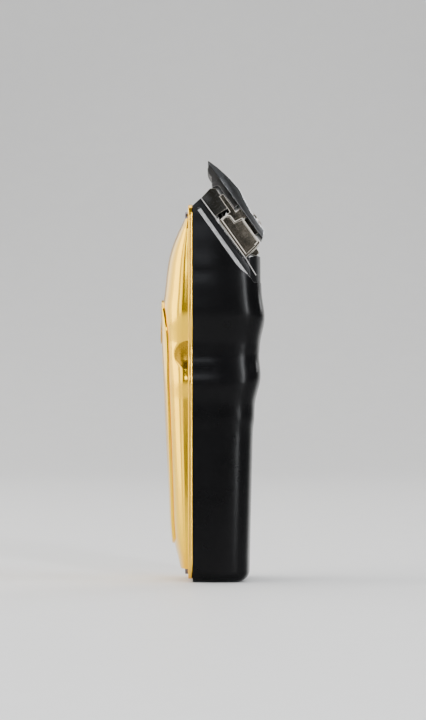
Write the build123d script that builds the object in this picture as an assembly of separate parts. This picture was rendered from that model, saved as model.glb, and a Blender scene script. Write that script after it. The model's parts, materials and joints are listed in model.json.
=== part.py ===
from build123d import *
from math import cos, sin, radians
import os

# Cordless hair clipper standing on its butt end. All lengths in millimetres.
# +Z points up, -X is the gilt lid side, +X the black back, Y runs across the blades.

# ---------------------------------------------------------------- overall sizes
SPLIT_X = -11.4             # seam between the black shell and the gilt rim
RIM_T = 1.9
RIM_X = SPLIT_X - RIM_T
WALL = 2.0
FLOOR = 3.0
CROWN = 0.7                 # how far the flanks bulge
BASE_ROUND = 4.5
SLICE = 5.0                 # spacing of the slices the skins are drawn through
RIM_LOW, RIM_HIGH = 1.3, 157.1
SHELL_TOP = 155.8
LEDGE_X = -8.3              # where the level front ledge meets the slanted top
SEAM_Z = 124.7              # where the slanted top meets the back wall

# height, back X, half width, back corner radius
STATIONS = [
    (0.0, 12.4, 21.6, 8.0),
    (12.0, 12.6, 22.0, 8.0),
    (33.0, 13.1, 21.9, 8.0),
    (60.0, 13.7, 21.6, 8.0),
    (76.0, 14.9, 21.8, 8.5),
    (84.0, 17.1, 22.4, 9.0),
    (88.5, 16.9, 21.5, 9.0),
    (93.0, 16.4, 20.9, 9.0),
    (99.0, 16.7, 20.9, 9.0),
    (103.5, 17.6, 21.6, 9.0),
    (108.5, 18.8, 22.9, 9.0),
    (113.0, 18.6, 23.2, 9.0),
    (118.5, 17.6, 23.3, 9.0),
    (126.0, 17.2, 23.3, 9.0),
    (135.0, 17.1, 23.2, 9.0),
    (161.0, 17.1, 23.2, 9.0),
]

# height and front X of the lid, without the raised panel
LID_FRONT = [
    (5.5, -17.3),
    (12.5, -18.5),
    (17.0, -19.5),
    (25.0, -20.3),
    (38.0, -20.9),
    (63.0, -22.1),
    (84.0, -23.0),
    (101.0, -23.8),
    (113.0, -24.1),
    (121.0, -23.3),
    (132.5, -22.0),
    (138.0, -20.8),
    (142.5, -19.3),
    (146.5, -17.6),
    (151.3, -15.4),
]
LID_LOW, LID_HIGH = 5.5, 151.3
FACET_Y = 9.0               # half width of the sloping facet at each end of the lid

# ---------------------------------------------------------------- cutting head
TIP_X, TIP_Z = -4.8, 175.0            # tips of the fixed blade's teeth
TILT = radians(54.5)
BLADE_W = 45.0
CUTTER_W = 40.0
PLATE_OUT = -11.6                     # outer face of the nose plate
PLATE_IN = -14.0                      # face it rests on
BLADE_FACE = -0.4                     # plane in which the two blades meet
OIL_FILM = 0.05
STROKE = 1.3                          # cutter travel each way
TAPER_TURN = 40.0
CAM_R = 2.0
TAPER_TRAVEL = 2 * CAM_R * sin(radians(TAPER_TURN / 2))
PIVOT_U, PIVOT_W = 32.0, -6.6
RUN_GAP = 0.05                        # radial gap of running fits
ARM_X = 0.95
ARM_TOP = 158.5

# ---------------------------------------------------------------- inside
CELL_X, CELL_R, CELL_Z, CELL_L = -2.0, 9.15, 19.0, 65.0
BOARD_X, BOARD_T = -18.0, 1.6
BOARD_BACK = BOARD_X + BOARD_T
BOARD_HALF = 11.0
BUTTON_Z, BUTTON_R, BUTTON_TRAVEL = 104.3, 5.0, 0.5
MAGNET_Z = 112.6
ROD_X, ROD_Z, ROD_R = 8.5, MAGNET_Z + 5.8, 1.5
SOCKET_X, SOCKET_R, BORE_R, BORE_L = 5.0, 4.4, 2.75, 9.0


def between(z, table, column):
    """Value of one column of a height table at height z."""
    for low, high in zip(table, table[1:]):
        if z <= high[0]:
            part = (z - low[0]) / (high[0] - low[0])
            return low[column] + part * (high[column] - low[column])
    return table[-1][column]


def box(x0, x1, y0, y1, z0, z1):
    return Pos((x0 + x1) / 2, (y0 + y1) / 2, (z0 + z1) / 2) * Box(x1 - x0, y1 - y0, z1 - z0)


def x_cyl(r, x0, x1, y, z):
    return Pos((x0 + x1) / 2, y, z) * Rot(0, 90, 0) * Cylinder(r, x1 - x0)


def y_cyl(r, x, y0, y1, z):
    return Pos(x, (y0 + y1) / 2, z) * Rot(90, 0, 0) * Cylinder(r, y1 - y0)


def z_cyl(r, x, y, z0, z1):
    return Pos(x, y, (z0 + z1) / 2) * Cylinder(r, z1 - z0)


def prism(points, y0, y1):
    """Solid whose outline is given as (x, z) points, between two Y planes."""
    face = make_face(Polyline(*[(x, y0, z) for x, z in points], close=True))
    return extrude(face, amount=y1 - y0, dir=(0, 1, 0))


HEAD = Plane(
    origin=(TIP_X, 0, TIP_Z),
    x_dir=(cos(TILT), 0, -sin(TILT)),
    z_dir=(sin(TILT), 0, cos(TILT)),
).location


def head_box(u0, u1, y0, y1, w0, w1):
    """Box in head axes: u runs from the tips to the heel, w out through the blade."""
    return HEAD * box(u0, u1, y0, y1, w0, w1)


def head_prism(points, y0, y1):
    return HEAD * prism(points, y0, y1)


def head_cyl(r, u, y, w0, w1):
    return HEAD * z_cyl(r, u, y, w0, w1)


def head_point(u, w):
    return (TIP_X + u * cos(TILT) + w * sin(TILT), TIP_Z - u * sin(TILT) + w * cos(TILT))


def screw(r_head, t_head, r_shank, length, recess=0.0):
    """Screw with its head's underside at the origin, shank down -Z, cross recess on top."""
    body = z_cyl(r_head, 0, 0, 0, t_head) + z_cyl(r_shank, 0, 0, -length, 0)
    body = chamfer(body.edges().group_by(Axis.Z)[-1], min(0.35, t_head / 3))
    if recess:
        for turn in (0, 90):
            body -= Pos(0, 0, t_head) * Rot(0, 0, turn) * Box(1.3 * r_head, 0.25 * r_head, 2 * recess)
    return body


def shell_section(z, inset):
    """D-shaped slice of the shell, flat on the seam side, round at the two back corners."""
    back = between(z, STATIONS, 1) - inset
    half = between(z, STATIONS, 2) - inset
    corner = between(z, STATIONS, 3) - inset
    turn = back - corner
    side = [
        (SPLIT_X, half - CROWN),
        ((SPLIT_X + turn) / 2, half),
        (turn, half - CROWN / 2),
        (back - 0.293 * corner, half - CROWN / 2 - 0.293 * corner),
        (back - 0.45, half - CROWN / 2 - corner),
    ]
    points = side + [(back, 0)] + [(x, -y) for x, y in reversed(side)]
    curve = Spline(*points, tangents=[(1, 0.08), (-1, 0.08)])
    return Pos(0, 0, z) * make_face([curve, Line(points[-1], points[0])])


def levels(low, high):
    """Evenly spaced heights about one slice apart."""
    count = round((high - low) / SLICE)
    return [low + i * (high - low) / count for i in range(count + 1)]


def shell_solid(inset, low, high):
    return loft([shell_section(z, inset) for z in levels(low, high)])


def lid_section(z, front, half):
    """Domed slice of the lid, flat on the rim side."""
    depth = RIM_X - front
    side = [
        (RIM_X, half),
        (RIM_X - 0.50 * depth, 0.90 * half),
        (RIM_X - 0.84 * depth, 0.62 * half),
    ]
    points = side + [(front, 0)] + [(x, -y) for x, y in reversed(side)]
    lean_in = 0.1 * half / depth
    curve = Spline(*points, tangents=[(-1, -lean_in), (1, -lean_in)])
    return Pos(0, 0, z) * make_face([curve, Line(points[-1], points[0])])


def lid_half(z):
    return between(z, STATIONS, 2) - CROWN - 0.5


def lid_solid(grow, low, high):
    """Lid body grown outwards (or inwards if negative) between two heights."""
    return loft([
        lid_section(z, between(z, LID_FRONT, 1) - grow, lid_half(z) + grow)
        for z in levels(low, high)
    ])


def beyond(a, b, c, outward):
    """Block that fills the outer side of the plane through three points."""
    normal = (Vector(*b) - Vector(*a)).cross(Vector(*c) - Vector(*a)).normalized()
    if normal.dot(Vector(*outward)) < 0:
        normal = -normal
    return Plane(origin=a, z_dir=normal).location * Pos(0, 0, 20) * Box(90, 90, 40)


def end_facets(front, rim, tip, outward):
    """Sloping end of the lid: one facet across the middle and one at each corner."""
    (fx, fz), (rx, rz), (tx, tz) = front, rim, tip
    blocks = [beyond((fx, -5, fz), (fx, 5, fz), (tx, 0, tz), outward)]
    for side in (-1, 1):
        blocks.append(beyond((fx, side * FACET_Y, fz), (rx, side * (lid_half(rz) + 0.5), rz),
                             (tx, side * (FACET_Y + 5.0), tz), outward))
    return blocks


# ---------------------------------------------------------------- rear shell
outer = shell_solid(0.0, 0.0, STATIONS[-1][0])
base_edges = [e for e in outer.edges().group_by(Axis.Z)[0] if e.center().X > SPLIT_X + 1]
outer = fillet(base_edges, BASE_ROUND)
far_x = 40.0
above = prism(
    [(-far_x, SHELL_TOP), (LEDGE_X, SHELL_TOP), head_point(51.8, PLATE_IN), (far_x, SEAM_Z),
     (far_x, 190.0), (-far_x, 190.0)],
    -30, 30,
)

# cavity: rounded wells stacked on each other, as (low, high, back X, half width, corner)
WELLS = [
    (FLOOR, 62.0, 10.3, 19.4, 6.0),
    (60.0, 83.0, 12.0, 18.6, 7.0),
    (82.0, 106.5, 14.4, 18.6, 6.5),
    (106.0, SHELL_TOP - WALL, 14.8, 20.6, 7.0),
]
shell = outer - above
for low, high, back, half, corner in WELLS:
    well = box(SPLIT_X - 10.0, back, -half, half, low, high)
    shell -= fillet(well.edges().filter_by(Axis.Z).group_by(Axis.X)[-1], corner)

# bevel along the slanted top of each flank
BEVEL = 1.5
for side in (-1, 1):
    half = between(140.0, STATIONS, 2)
    edge = [(half - BEVEL, PLATE_IN + 0.1), (half + 2, PLATE_IN + 0.1), (half + 2, PLATE_IN - 4.0),
            (half, PLATE_IN - 1.15 * BEVEL)]
    face = make_face(Polyline(*[(-15, side * y, w) for y, w in edge], close=True))
    shell -= HEAD * extrude(face, amount=80, dir=(1, 0, 0))

# low horizontal grip ribs on the back
RIB_PITCH, RIB_GAP, RIB_DEPTH, RIB_COUNT, RIB_LOW = 1.4, 0.6, 0.35, 23, 15.5
rib_gaps = []
for i in range(RIB_COUNT):
    z = RIB_LOW + i * RIB_PITCH
    depth_x = between(z, STATIONS, 1) - RIB_DEPTH
    rib_gaps.append(box(depth_x, far_x, -11, 11, z - RIB_GAP / 2, z + RIB_GAP / 2))
shell -= rib_gaps

# bosses for the lid screws and the head screws
LID_SCREWS = ((152.4, 2.5), (4.4, 2.3))
# u, y, seat, depth of the screw, outer face of its post
HEAD_SCREWS = ((16.8, 15.5, -4.0, -18.2, 21.8), (46.0, 12.5, PLATE_OUT, -18.2, 20.5))
POST_END, POST_IN = -19.4, 12.0
for u, y, _, deep, post_out in HEAD_SCREWS:
    for side in (-1, 1):
        y0, y1 = sorted((side * POST_IN, side * post_out))
        post = head_box(u - 3.0, u + 3.0, y0, y1, POST_END, PLATE_IN)
        shell += post - box(-30, SPLIT_X, -30, 30, 100, 180)
        shell -= head_cyl(1.3, u, side * y, deep - 0.3, PLATE_IN + 1)
for z, _ in LID_SCREWS:
    shell += x_cyl(3.4, SPLIT_X, -5.0, 0, z) - above
    shell -= x_cyl(1.3, SPLIT_X - 1, -6.0, 0, z)
shell -= z_cyl(SOCKET_R, SOCKET_X, 0, -1, FLOOR + 1)

# ---------------------------------------------------------------- gilt lid, rim and raised panel
rim_z = [RIM_LOW, 33.0, 60.0, 76.0, 84.0, 93.0, 99.0, 108.5, 118.5, RIM_HIGH]
rim_side = [(between(z, STATIONS, 2) - CROWN + 0.2, z) for z in rim_z]
edges = [
    Spline(*[(RIM_X, y, z) for y, z in rim_side]),
    Line((RIM_X, rim_side[-1][0], RIM_HIGH), (RIM_X, -rim_side[-1][0], RIM_HIGH)),
    Spline(*[(RIM_X, -y, z) for y, z in reversed(rim_side)]),
    Line((RIM_X, -rim_side[0][0], RIM_LOW), (RIM_X, rim_side[0][0], RIM_LOW)),
]
rim = extrude(make_face(edges), amount=RIM_T, dir=(1, 0, 0))
rim = fillet(rim.edges().filter_by(Axis.X), 5.0)
opening = box(RIM_X - 1, SPLIT_X + 1, -16.8, 16.8, 10.5, 146.5)
rim -= fillet(opening.edges().filter_by(Axis.X), 4.0)
for z, _ in LID_SCREWS:
    rim -= x_cyl(1.6, RIM_X - 1, SPLIT_X + 1, 0, z)

lid_ends = end_facets((-18.4, 12.7), (RIM_X, 11.0), (-16.0, LID_LOW), (-1, 0, -1))
lid_ends += end_facets((-18.1, 145.9), (RIM_X, 148.0), (-14.3, LID_HIGH), (-1, 0, 1))
lid_outer = lid_solid(0.0, LID_LOW, LID_HIGH) - lid_ends
# pockets behind the lid, as (front X, half width, low, high)
LID_POCKETS = [
    (-15.6, 16.8, 20.0, 143.0),
    (-17.5, 12.0, 20.0, 140.0),
    (-19.0, 11.8, 56.0, 115.0),
    (-19.5, 9.0, 62.0, 115.0),
    (-21.9, 8.0, 88.0, 112.0),
]
lid = lid_outer
for front, half, low, high in LID_POCKETS:
    pocket = box(front, RIM_X + 1, -half, half, low, high)
    lid -= fillet(pocket.edges().filter_by(Axis.X), 2.0)
for z, r in LID_SCREWS:
    lid -= x_cyl(r + 0.5, -30, RIM_X + 1, 0, z)
# thumb scoop in each side, cut by a ball square to the lid's surface
SCOOP_Z, SCOOP_R, SCOOP_DEPTH = 94.6, 6.1, 1.2
SCOOP_OUT, SCOOP_IN, SCOOP_LEAN = 2.0, 0.3, radians(16)
ball = (SCOOP_R ** 2 + SCOOP_DEPTH ** 2) / (2 * SCOOP_DEPTH)
for side in (-1, 1):
    ball_y = lid_half(SCOOP_Z) - SCOOP_IN + (ball - SCOOP_DEPTH) * cos(SCOOP_LEAN)
    ball_x = RIM_X - SCOOP_OUT - (ball - SCOOP_DEPTH) * sin(SCOOP_LEAN)
    lid -= Pos(ball_x, side * ball_y, SCOOP_Z) * Sphere(ball)

PANEL_RAISE, PANEL_TOP_R, PANEL_LOW_HALF, PANEL_LOW_Z = 0.9, 13.5, 11.0, 17.7
panel_edges = [
    ThreePointArc((-30, PANEL_TOP_R, BUTTON_Z), (-30, 0, BUTTON_Z + PANEL_TOP_R),
                  (-30, -PANEL_TOP_R, BUTTON_Z)),
    Line((-30, -PANEL_TOP_R, BUTTON_Z), (-30, -PANEL_LOW_HALF, PANEL_LOW_Z)),
    ThreePointArc((-30, -PANEL_LOW_HALF, PANEL_LOW_Z), (-30, 0, PANEL_LOW_Z - 2.5),
                  (-30, PANEL_LOW_HALF, PANEL_LOW_Z)),
    Line((-30, PANEL_LOW_HALF, PANEL_LOW_Z), (-30, PANEL_TOP_R, BUTTON_Z)),
]
panel_core = extrude(make_face(panel_edges), amount=16, dir=(1, 0, 0))
panel = (panel_core & lid_solid(PANEL_RAISE, 12.5, 132.5)) - lid_outer
button_hole = x_cyl(BUTTON_R + 0.2, -30, -19, 0, BUTTON_Z)
LENS_Z, LENS_R = 92.0, 1.2
lens_hole = x_cyl(LENS_R, -30, -19, 0, LENS_Z)
panel = panel - button_hole - lens_hole
lid = lid - button_hole - lens_hole

lid_screws = []
for z, r in LID_SCREWS:
    lid_screws.append(Pos(RIM_X, 0, z) * Rot(0, -90, 0) * screw(r, 1.5, 1.3, 6.4, 0.7))

# ---------------------------------------------------------------- power button and indicator
BUTTON_FACE = -25.0
BUTTON_BACK = -20.3
button = x_cyl(BUTTON_R, BUTTON_FACE, BUTTON_BACK, 0, BUTTON_Z)
button += x_cyl(BUTTON_R + 0.9, BUTTON_BACK - 0.8, BUTTON_BACK, 0, BUTTON_Z)
button -= x_cyl(BUTTON_R - 1.0, BUTTON_FACE - 1, BUTTON_FACE + 0.35, 0, BUTTON_Z)
plunger = x_cyl(1.6, BUTTON_BACK, -19.3, 0, BUTTON_Z)
switch = box(BUTTON_BACK + BUTTON_TRAVEL + 0.2, BOARD_X, -3, 3, BUTTON_Z - 3, BUTTON_Z + 3)
switch -= x_cyl(1.6 + RUN_GAP, -21, -18.7, 0, BUTTON_Z)
lens = x_cyl(LENS_R, -24.5, -20.4, 0, LENS_Z) + x_cyl(2.0, -21.1, -20.4, 0, LENS_Z)
led = box(-19.0, BOARD_X, -0.8, 0.8, LENS_Z - 1.2, LENS_Z + 1.2)

# ---------------------------------------------------------------- nose plate and blade base
plate_outline = [
    (SPLIT_X, SHELL_TOP), (SPLIT_X, SHELL_TOP + 0.8), head_point(10.6, PLATE_OUT),
    head_point(42.0, PLATE_OUT), (11.1, 134.9), (15.4, 135.9), (16.95, 135.5), (16.95, SEAM_Z),
    head_point(51.8, PLATE_IN), (LEDGE_X, SHELL_TOP),
]
PLATE_INSET, PLATE_HALF = 0.15, 21.7
nose_plate = prism(plate_outline, -PLATE_HALF, PLATE_HALF) & shell_solid(PLATE_INSET, 118.0, 161.0)
SLOT_HALF = 3.6
arm_slot = head_box(23.0, 33.0, -SLOT_HALF, SLOT_HALF, -16.0, -11.0)
nose_plate -= arm_slot
RAIL_Y, RAIL_HALF, RAIL_TOP = 11.0, 1.5, -10.0
for side in (-1, 1):
    nose_plate += head_box(29.0, 41.0, side * RAIL_Y - RAIL_HALF, side * RAIL_Y + RAIL_HALF,
                           PLATE_OUT, RAIL_TOP)
LUG_IN, LUG_OUT = 18.8, 22.4
lug = head_prism([(27.6, PLATE_OUT), (28.2, -5.0), (30.0, -3.2), (34.0, -3.2), (35.8, -5.0),
                  (36.4, PLATE_OUT)], LUG_IN, LUG_OUT)
nose_plate += lug
pivot_x, pivot_z = head_point(PIVOT_U, PIVOT_W)
SHAFT_R, PIN_R = 2.5, 1.5
nose_plate -= y_cyl(SHAFT_R + RUN_GAP, pivot_x, LUG_IN - 1, LUG_OUT + 1, pivot_z)

base_outline = [(10.6, PLATE_OUT), (9.5, -6.1), (10.9, -4.1), (19.2, -4.0), (20.4, -5.2),
                (20.2, PLATE_OUT)]
blade_base = head_prism(base_outline, -20, 20)
FOLLOWER_HALF = 4.0
base_slot = FOLLOWER_HALF + STROKE + 0.6
blade_base -= head_box(12.6, 21.0, -base_slot, base_slot, -12.0, -3.0)

head_screws = []
HEAD_R = 2.2
for u, y, seat, deep, _ in HEAD_SCREWS:
    sink = seat - 1.7
    for side in (-1, 1):
        bore_hole = head_cyl(1.5, u, side * y, PLATE_IN - 1, seat + 1)
        bore_hole += head_cyl(HEAD_R + 0.1, u, side * y, sink, seat + 1)
        blade_base -= bore_hole
        nose_plate -= bore_hole
        head_screws.append(HEAD * Pos(u, side * y, sink) * screw(HEAD_R, 1.4, 1.3, sink - deep, 0.7))

hair_guard = head_box(23.0, 38.0, -8.0, 8.0, PLATE_IN - 1.5, PLATE_IN)
hair_guard -= head_box(25.5, 35.2, -SLOT_HALF + 0.3, SLOT_HALF - 0.3, -16.0, -13.0)

# ---------------------------------------------------------------- blades
def tooth_gaps(count, pitch, width, root, w0, w1):
    """Slots between a row of teeth, each tapering to its root."""
    gaps = []
    for i in range(count):
        y = (i - (count - 1) / 2) * pitch
        outline = [(-2, -width / 2), (root - 2, -0.36 * width), (root, 0), (root - 2, 0.36 * width),
                   (-2, width / 2)]
        face = make_face(Polyline(*[(u, y + v, w0) for u, v in outline], close=True))
        gaps.append(HEAD * extrude(face, amount=w1 - w0, dir=(0, 0, 1)))
    return gaps


fixed_outline = [
    (0.0, BLADE_FACE), (0.0, 0.0), (4.35, 1.4), (10.6, 2.8), (15.4, 3.4), (18.4, 3.5),
    (20.6, 2.9), (28.0, 1.95), (36.9, 1.95), (39.2, -0.2), (39.0, BLADE_FACE),
]
fixed_blade = head_prism(fixed_outline, -BLADE_W / 2, BLADE_W / 2)
fixed_blade -= tooth_gaps(37, 1.16, 0.72, 8.6, -1.0, 4.0)
SCREW_U, SCREW_Y = 31.0, 11.0
for side in (-1, 1):
    fixed_blade -= head_cyl(1.7, SCREW_U, side * SCREW_Y, -1, 4)

FACE_C = BLADE_FACE - OIL_FILM
CUTTER_IN = -2.6
cutter_outline = [
    (1.5, FACE_C), (1.6, -1.2), (2.35, -2.24), (3.9, -2.8), (6.3, -2.9), (9.0, -4.8), (9.7, -4.8),
    (10.3, CUTTER_IN - 0.6), (10.9, CUTTER_IN), (22.0, CUTTER_IN), (22.0, FACE_C),
]
cutter = head_prism(cutter_outline, -CUTTER_W / 2, CUTTER_W / 2)
cutter -= tooth_gaps(25, 1.54, 0.9, 8.2, -6.0, 0.5)

SLOT_R = 1.85
follower = head_box(13.4, 19.2, -FOLLOWER_HALF, FOLLOWER_HALF, -6.3, CUTTER_IN)
follower -= head_box(13.0, 20.0, -SLOT_R, SLOT_R, -7.0, -3.0)
for side in (-1, 1):
    follower += head_box(13.4, 19.2, side * 5.2 - 1.6, side * 5.2 + 1.6, -3.5, CUTTER_IN)

# ---------------------------------------------------------------- blade carrier
CARRIER_LOW = -10.8
SEAT_W = -5.6
carrier_outline = [
    (22.65, CARRIER_LOW), (22.4, -7.8), (22.7, -6.6), (23.7, SEAT_W), (26.9, SEAT_W), (27.3, -2.2),
    (39.9, -2.2), (40.7, -4.5), (41.6, CARRIER_LOW),
]
CARRIER_Y0, CARRIER_Y1 = -21.8, LUG_IN - 0.3
carrier = head_prism(carrier_outline, CARRIER_Y0, CARRIER_Y1)
ARM_WAY = 5.0
carrier -= head_box(20.0, 29.3, -ARM_WAY, ARM_WAY, -12.0, -1.0)
for side in (-1, 1):
    groove = RAIL_HALF + 0.1
    carrier -= head_box(20.0, 43.0, side * RAIL_Y - groove, side * RAIL_Y + groove,
                        CARRIER_LOW - 1, RAIL_TOP + 0.05)
    carrier += head_box(28.2, 36.0, side * SCREW_Y - 3.8, side * SCREW_Y + 3.8, -2.2, BLADE_FACE)
    carrier -= head_cyl(1.3, SCREW_U, side * SCREW_Y, -7.5, 0)

# ends of the spring bar, beside each leaf spring
for side in (-1, 1):
    carrier += head_box(23.9, 27.4, side * 16.1 - 1.9, side * 16.1 + 1.9, SEAT_W, -2.3)

start = radians(TAPER_TURN / 2)
pin_u = PIVOT_U + CAM_R * sin(start)
pin_w = PIVOT_W - CAM_R * cos(start)
CAM_SINK = 4.2
slot_low = PIVOT_W - CAM_R - PIN_R - 0.1
slot_high = pin_w + PIN_R + 0.1
carrier -= head_box(pin_u - PIN_R - 0.06, pin_u + PIN_R + 0.06, CARRIER_Y1 - CAM_SINK, CARRIER_Y1 + 1,
                    slot_low, slot_high)
rear_tab = [(40.4, -4.3), (43.0, -4.5), (43.2, -6.3), (41.0, -8.0)]
carrier += head_prism(rear_tab, -9, 9)

blade_screws = []
for side in (-1, 1):
    body = screw(3.0, 1.3, 1.3, 8.6, 0.7)
    blade_screws.append(HEAD * Pos(SCREW_U, side * SCREW_Y, 1.95) * body)

# leaf springs screwed to the carrier, pressing the cutter outwards
SPRING_T = 0.45
SPRING_HALF = 2.6
leaf_low = [(26.6, SEAT_W), (23.4, SEAT_W), (21.0, -3.72), (17.6, -3.12)]
leaf = leaf_low + [(u, w + SPRING_T) for u, w in reversed(leaf_low)]
SPRING_U = 25.0
tension_springs, spring_screws = [], []
for side in (-1, 1):
    y = side * SCREW_Y
    blade_spring = head_prism(leaf, y - SPRING_HALF, y + SPRING_HALF)
    hole = head_cyl(0.95, SPRING_U, y, -9.5, -3.0)
    tension_springs.append(blade_spring - hole)
    carrier -= hole
    spring_screws.append(HEAD * Pos(SPRING_U, y, SEAT_W + SPRING_T) * screw(1.6, 0.9, 0.9, 4.0, 0.5))

# ---------------------------------------------------------------- taper lever
LEVER_IN, LEVER_T, LEVER_L, LEVER_LEAN = 23.7, 1.8, 42.0, 5.0
HUB_R, NECK_HALF, THUMB_HALF = 4.2, 2.7, 4.6
LEVER_OUT = LEVER_IN + LEVER_T
lever_outline = [
    (-NECK_HALF, -HUB_R + 1.5), (-NECK_HALF, -27.0), (-THUMB_HALF, -33.0), (-THUMB_HALF, -LEVER_L),
    (THUMB_HALF, -LEVER_L), (THUMB_HALF, -33.0), (NECK_HALF, -27.0), (NECK_HALF, -HUB_R + 1.5),
]
lever = prism(lever_outline, LEVER_IN, LEVER_OUT)
lever = fillet(lever.edges().filter_by(Axis.Y).group_by(Axis.Z)[0], 3.5)
lever += y_cyl(HUB_R, 0, LEVER_IN, LEVER_OUT + 0.6, 0)
thumb = prism([(-THUMB_HALF + 0.6, -34.0), (-THUMB_HALF + 0.6, -LEVER_L + 2.2),
               (THUMB_HALF - 0.6, -LEVER_L + 2.2), (THUMB_HALF - 0.6, -34.0)],
              LEVER_OUT, LEVER_OUT + 2.2)
thumb = fillet(thumb.edges().filter_by(Axis.Y), 1.2)
for i in range(4):
    z = -35.2 - 1.4 * i
    thumb -= box(-6, 6, LEVER_OUT + 1.7, LEVER_OUT + 3, z - 0.25, z + 0.25)
lever += thumb
lever -= y_cyl(1.3, 0, LEVER_IN - 1, LEVER_OUT + 2, 0)
lever = Pos(pivot_x, 0, pivot_z) * Rot(0, -LEVER_LEAN, 0) * lever

CAM_Y = LUG_IN - 0.15
cam = y_cyl(SHAFT_R, pivot_x, CAM_Y, LEVER_IN, pivot_z)
cam -= y_cyl(1.3, pivot_x, LEVER_IN - 4.0, LEVER_IN + 1, pivot_z)
pin_x, pin_z = head_point(pin_u, pin_w)
cam += y_cyl(PIN_R, pin_x, CARRIER_Y1 - CAM_SINK + 0.4, CAM_Y, pin_z)
lever_screw = Pos(pivot_x, LEVER_OUT + 0.6, pivot_z) * Rot(-90, 0, 0) * screw(3.0, 1.0, 1.3, 6.0, 0.5)
washer = y_cyl(4.4, pivot_x, LUG_OUT, LEVER_IN - 0.1, pivot_z)
washer -= y_cyl(SHAFT_R + RUN_GAP, pivot_x, LUG_OUT - 1, LEVER_IN + 1, pivot_z)

# ---------------------------------------------------------------- linear motor
FRAME_X, FRAME_Y, FRAME_LOW, FRAME_TOP, END_T = 10.2, 17.6, 94.0, 123.0, 1.6
frame = box(-FRAME_X, FRAME_X, -FRAME_Y, FRAME_Y, FRAME_LOW, FRAME_LOW + 1.6)
for side in (-1, 1):
    y = side * (FRAME_Y - END_T / 2)
    frame += box(-FRAME_X, FRAME_X, y - END_T / 2, y + END_T / 2, FRAME_LOW, FRAME_TOP)
frame = chamfer(frame.edges().filter_by(Axis.Y).group_by(Axis.Z)[-1], 3.0)
CORE_LOW = FRAME_LOW + 1.6
CORE_X = 7.0
core = box(-CORE_X, CORE_X, -14.5, 14.5, CORE_LOW, CORE_LOW + 4.0)
POLE_TOP = MAGNET_Z - 0.6
for y, half in ((-12.25, 2.25), (0.0, 3.0), (12.25, 2.25)):
    core += box(-CORE_X, CORE_X, y - half, y + half, CORE_LOW, POLE_TOP)
coil = box(-CORE_X - 3.4, CORE_X + 3.4, -8.6, 8.6, CORE_LOW + 5.2, POLE_TOP - 1.4)
coil = fillet(coil.edges().filter_by(Axis.Z), 3.0)
coil -= box(-CORE_X - 0.9, CORE_X + 0.9, -3.9, 3.9, CORE_LOW, POLE_TOP)
bobbin = box(-CORE_X - 0.85, CORE_X + 0.85, -3.85, 3.85, CORE_LOW + 4.0, POLE_TOP - 0.2)
for z in (CORE_LOW + 4.0, POLE_TOP - 1.4):
    bobbin += box(-CORE_X - 3.6, CORE_X + 3.6, -8.8, 8.8, z, z + 1.2)
bobbin -= box(-CORE_X, CORE_X, -3.0, 3.0, CORE_LOW, POLE_TOP)

YOKE_Z = MAGNET_Z + 2.6
YOKE_T = 2 * (ROD_Z - YOKE_Z)
MOVER_HALF = 9.0
magnets = [box(-6, 6, y - 2.6, y + 2.6, MAGNET_Z, YOKE_Z) for y in (-6.1, 0.0, 6.1)]
yoke = box(-ROD_X - 3.2, ROD_X + 3.2, -MOVER_HALF, MOVER_HALF, YOKE_Z, YOKE_Z + YOKE_T)
yoke = fillet(yoke.edges().filter_by(Axis.Z), 2.0)
rods, bushes, springs = [], [], []
BUSH_R = 2.4
for rod_x in (-ROD_X, ROD_X):
    hole = y_cyl(BUSH_R, rod_x, -20, 20, ROD_Z)
    yoke -= hole
    rods.append(y_cyl(ROD_R, rod_x, -FRAME_Y, FRAME_Y, ROD_Z))
    for side in (-1, 1):
        frame -= y_cyl(ROD_R, rod_x, side * FRAME_Y - 2.4, side * FRAME_Y + 2.4, ROD_Z)
        y0, y1 = sorted((side * 3.0, side * (MOVER_HALF + 0.8)))
        bushes.append(y_cyl(BUSH_R, rod_x, y0, y1, ROD_Z)
                      - y_cyl(ROD_R + RUN_GAP, rod_x, y0 - 1, y1 + 1, ROD_Z))
        WIRE = 0.3
        free = FRAME_Y - END_T - MOVER_HALF - 0.8 - 2 * WIRE
        helix = Helix(pitch=free / 4, height=free, radius=2.1)
        coil_wire = sweep(Plane(origin=helix @ 0, z_dir=helix % 0) * Circle(WIRE), path=helix)
        y_start = side * (MOVER_HALF + 0.8 + WIRE)
        springs.append(Pos(rod_x, y_start, ROD_Z) * Rot(-90 * side, 0, 0) * coil_wire)
yoke -= z_cyl(1.4, ARM_X, 0, YOKE_Z - 1, YOKE_Z + YOKE_T + 1)

arm = z_cyl(1.4, ARM_X, 0, YOKE_Z, ARM_TOP) + z_cyl(3.6, ARM_X, 0, YOKE_Z + YOKE_T, YOKE_Z + YOKE_T + 2.5)
ball_tip = Pos(ARM_X, 0, ARM_TOP) * Sphere(SLOT_R - RUN_GAP)
arm -= ball_tip

mount_pads = []
motor_screws = []
PAD_LOW = 91.4
shelf = box(-9.8, FRAME_X, -15.5, 15.5, PAD_LOW - 1.9, PAD_LOW)
for side in (-1, 1):
    mount_pads.append(box(-9.0, 10.0, side * 11.5 - 3.5, side * 11.5 + 3.5, PAD_LOW, FRAME_LOW))
    for x in (-8.5, 8.5):
        place = Pos(x, side * 13.0, CORE_LOW)
        motor_screws.append(place * screw(1.35, 0.9, 0.8, 5.6, 0.4))
        tap = z_cyl(0.8, x, side * 13.0, 88.0, CORE_LOW + 0.1)
        shelf -= tap
        frame -= tap
        mount_pads[-1] -= tap

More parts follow.
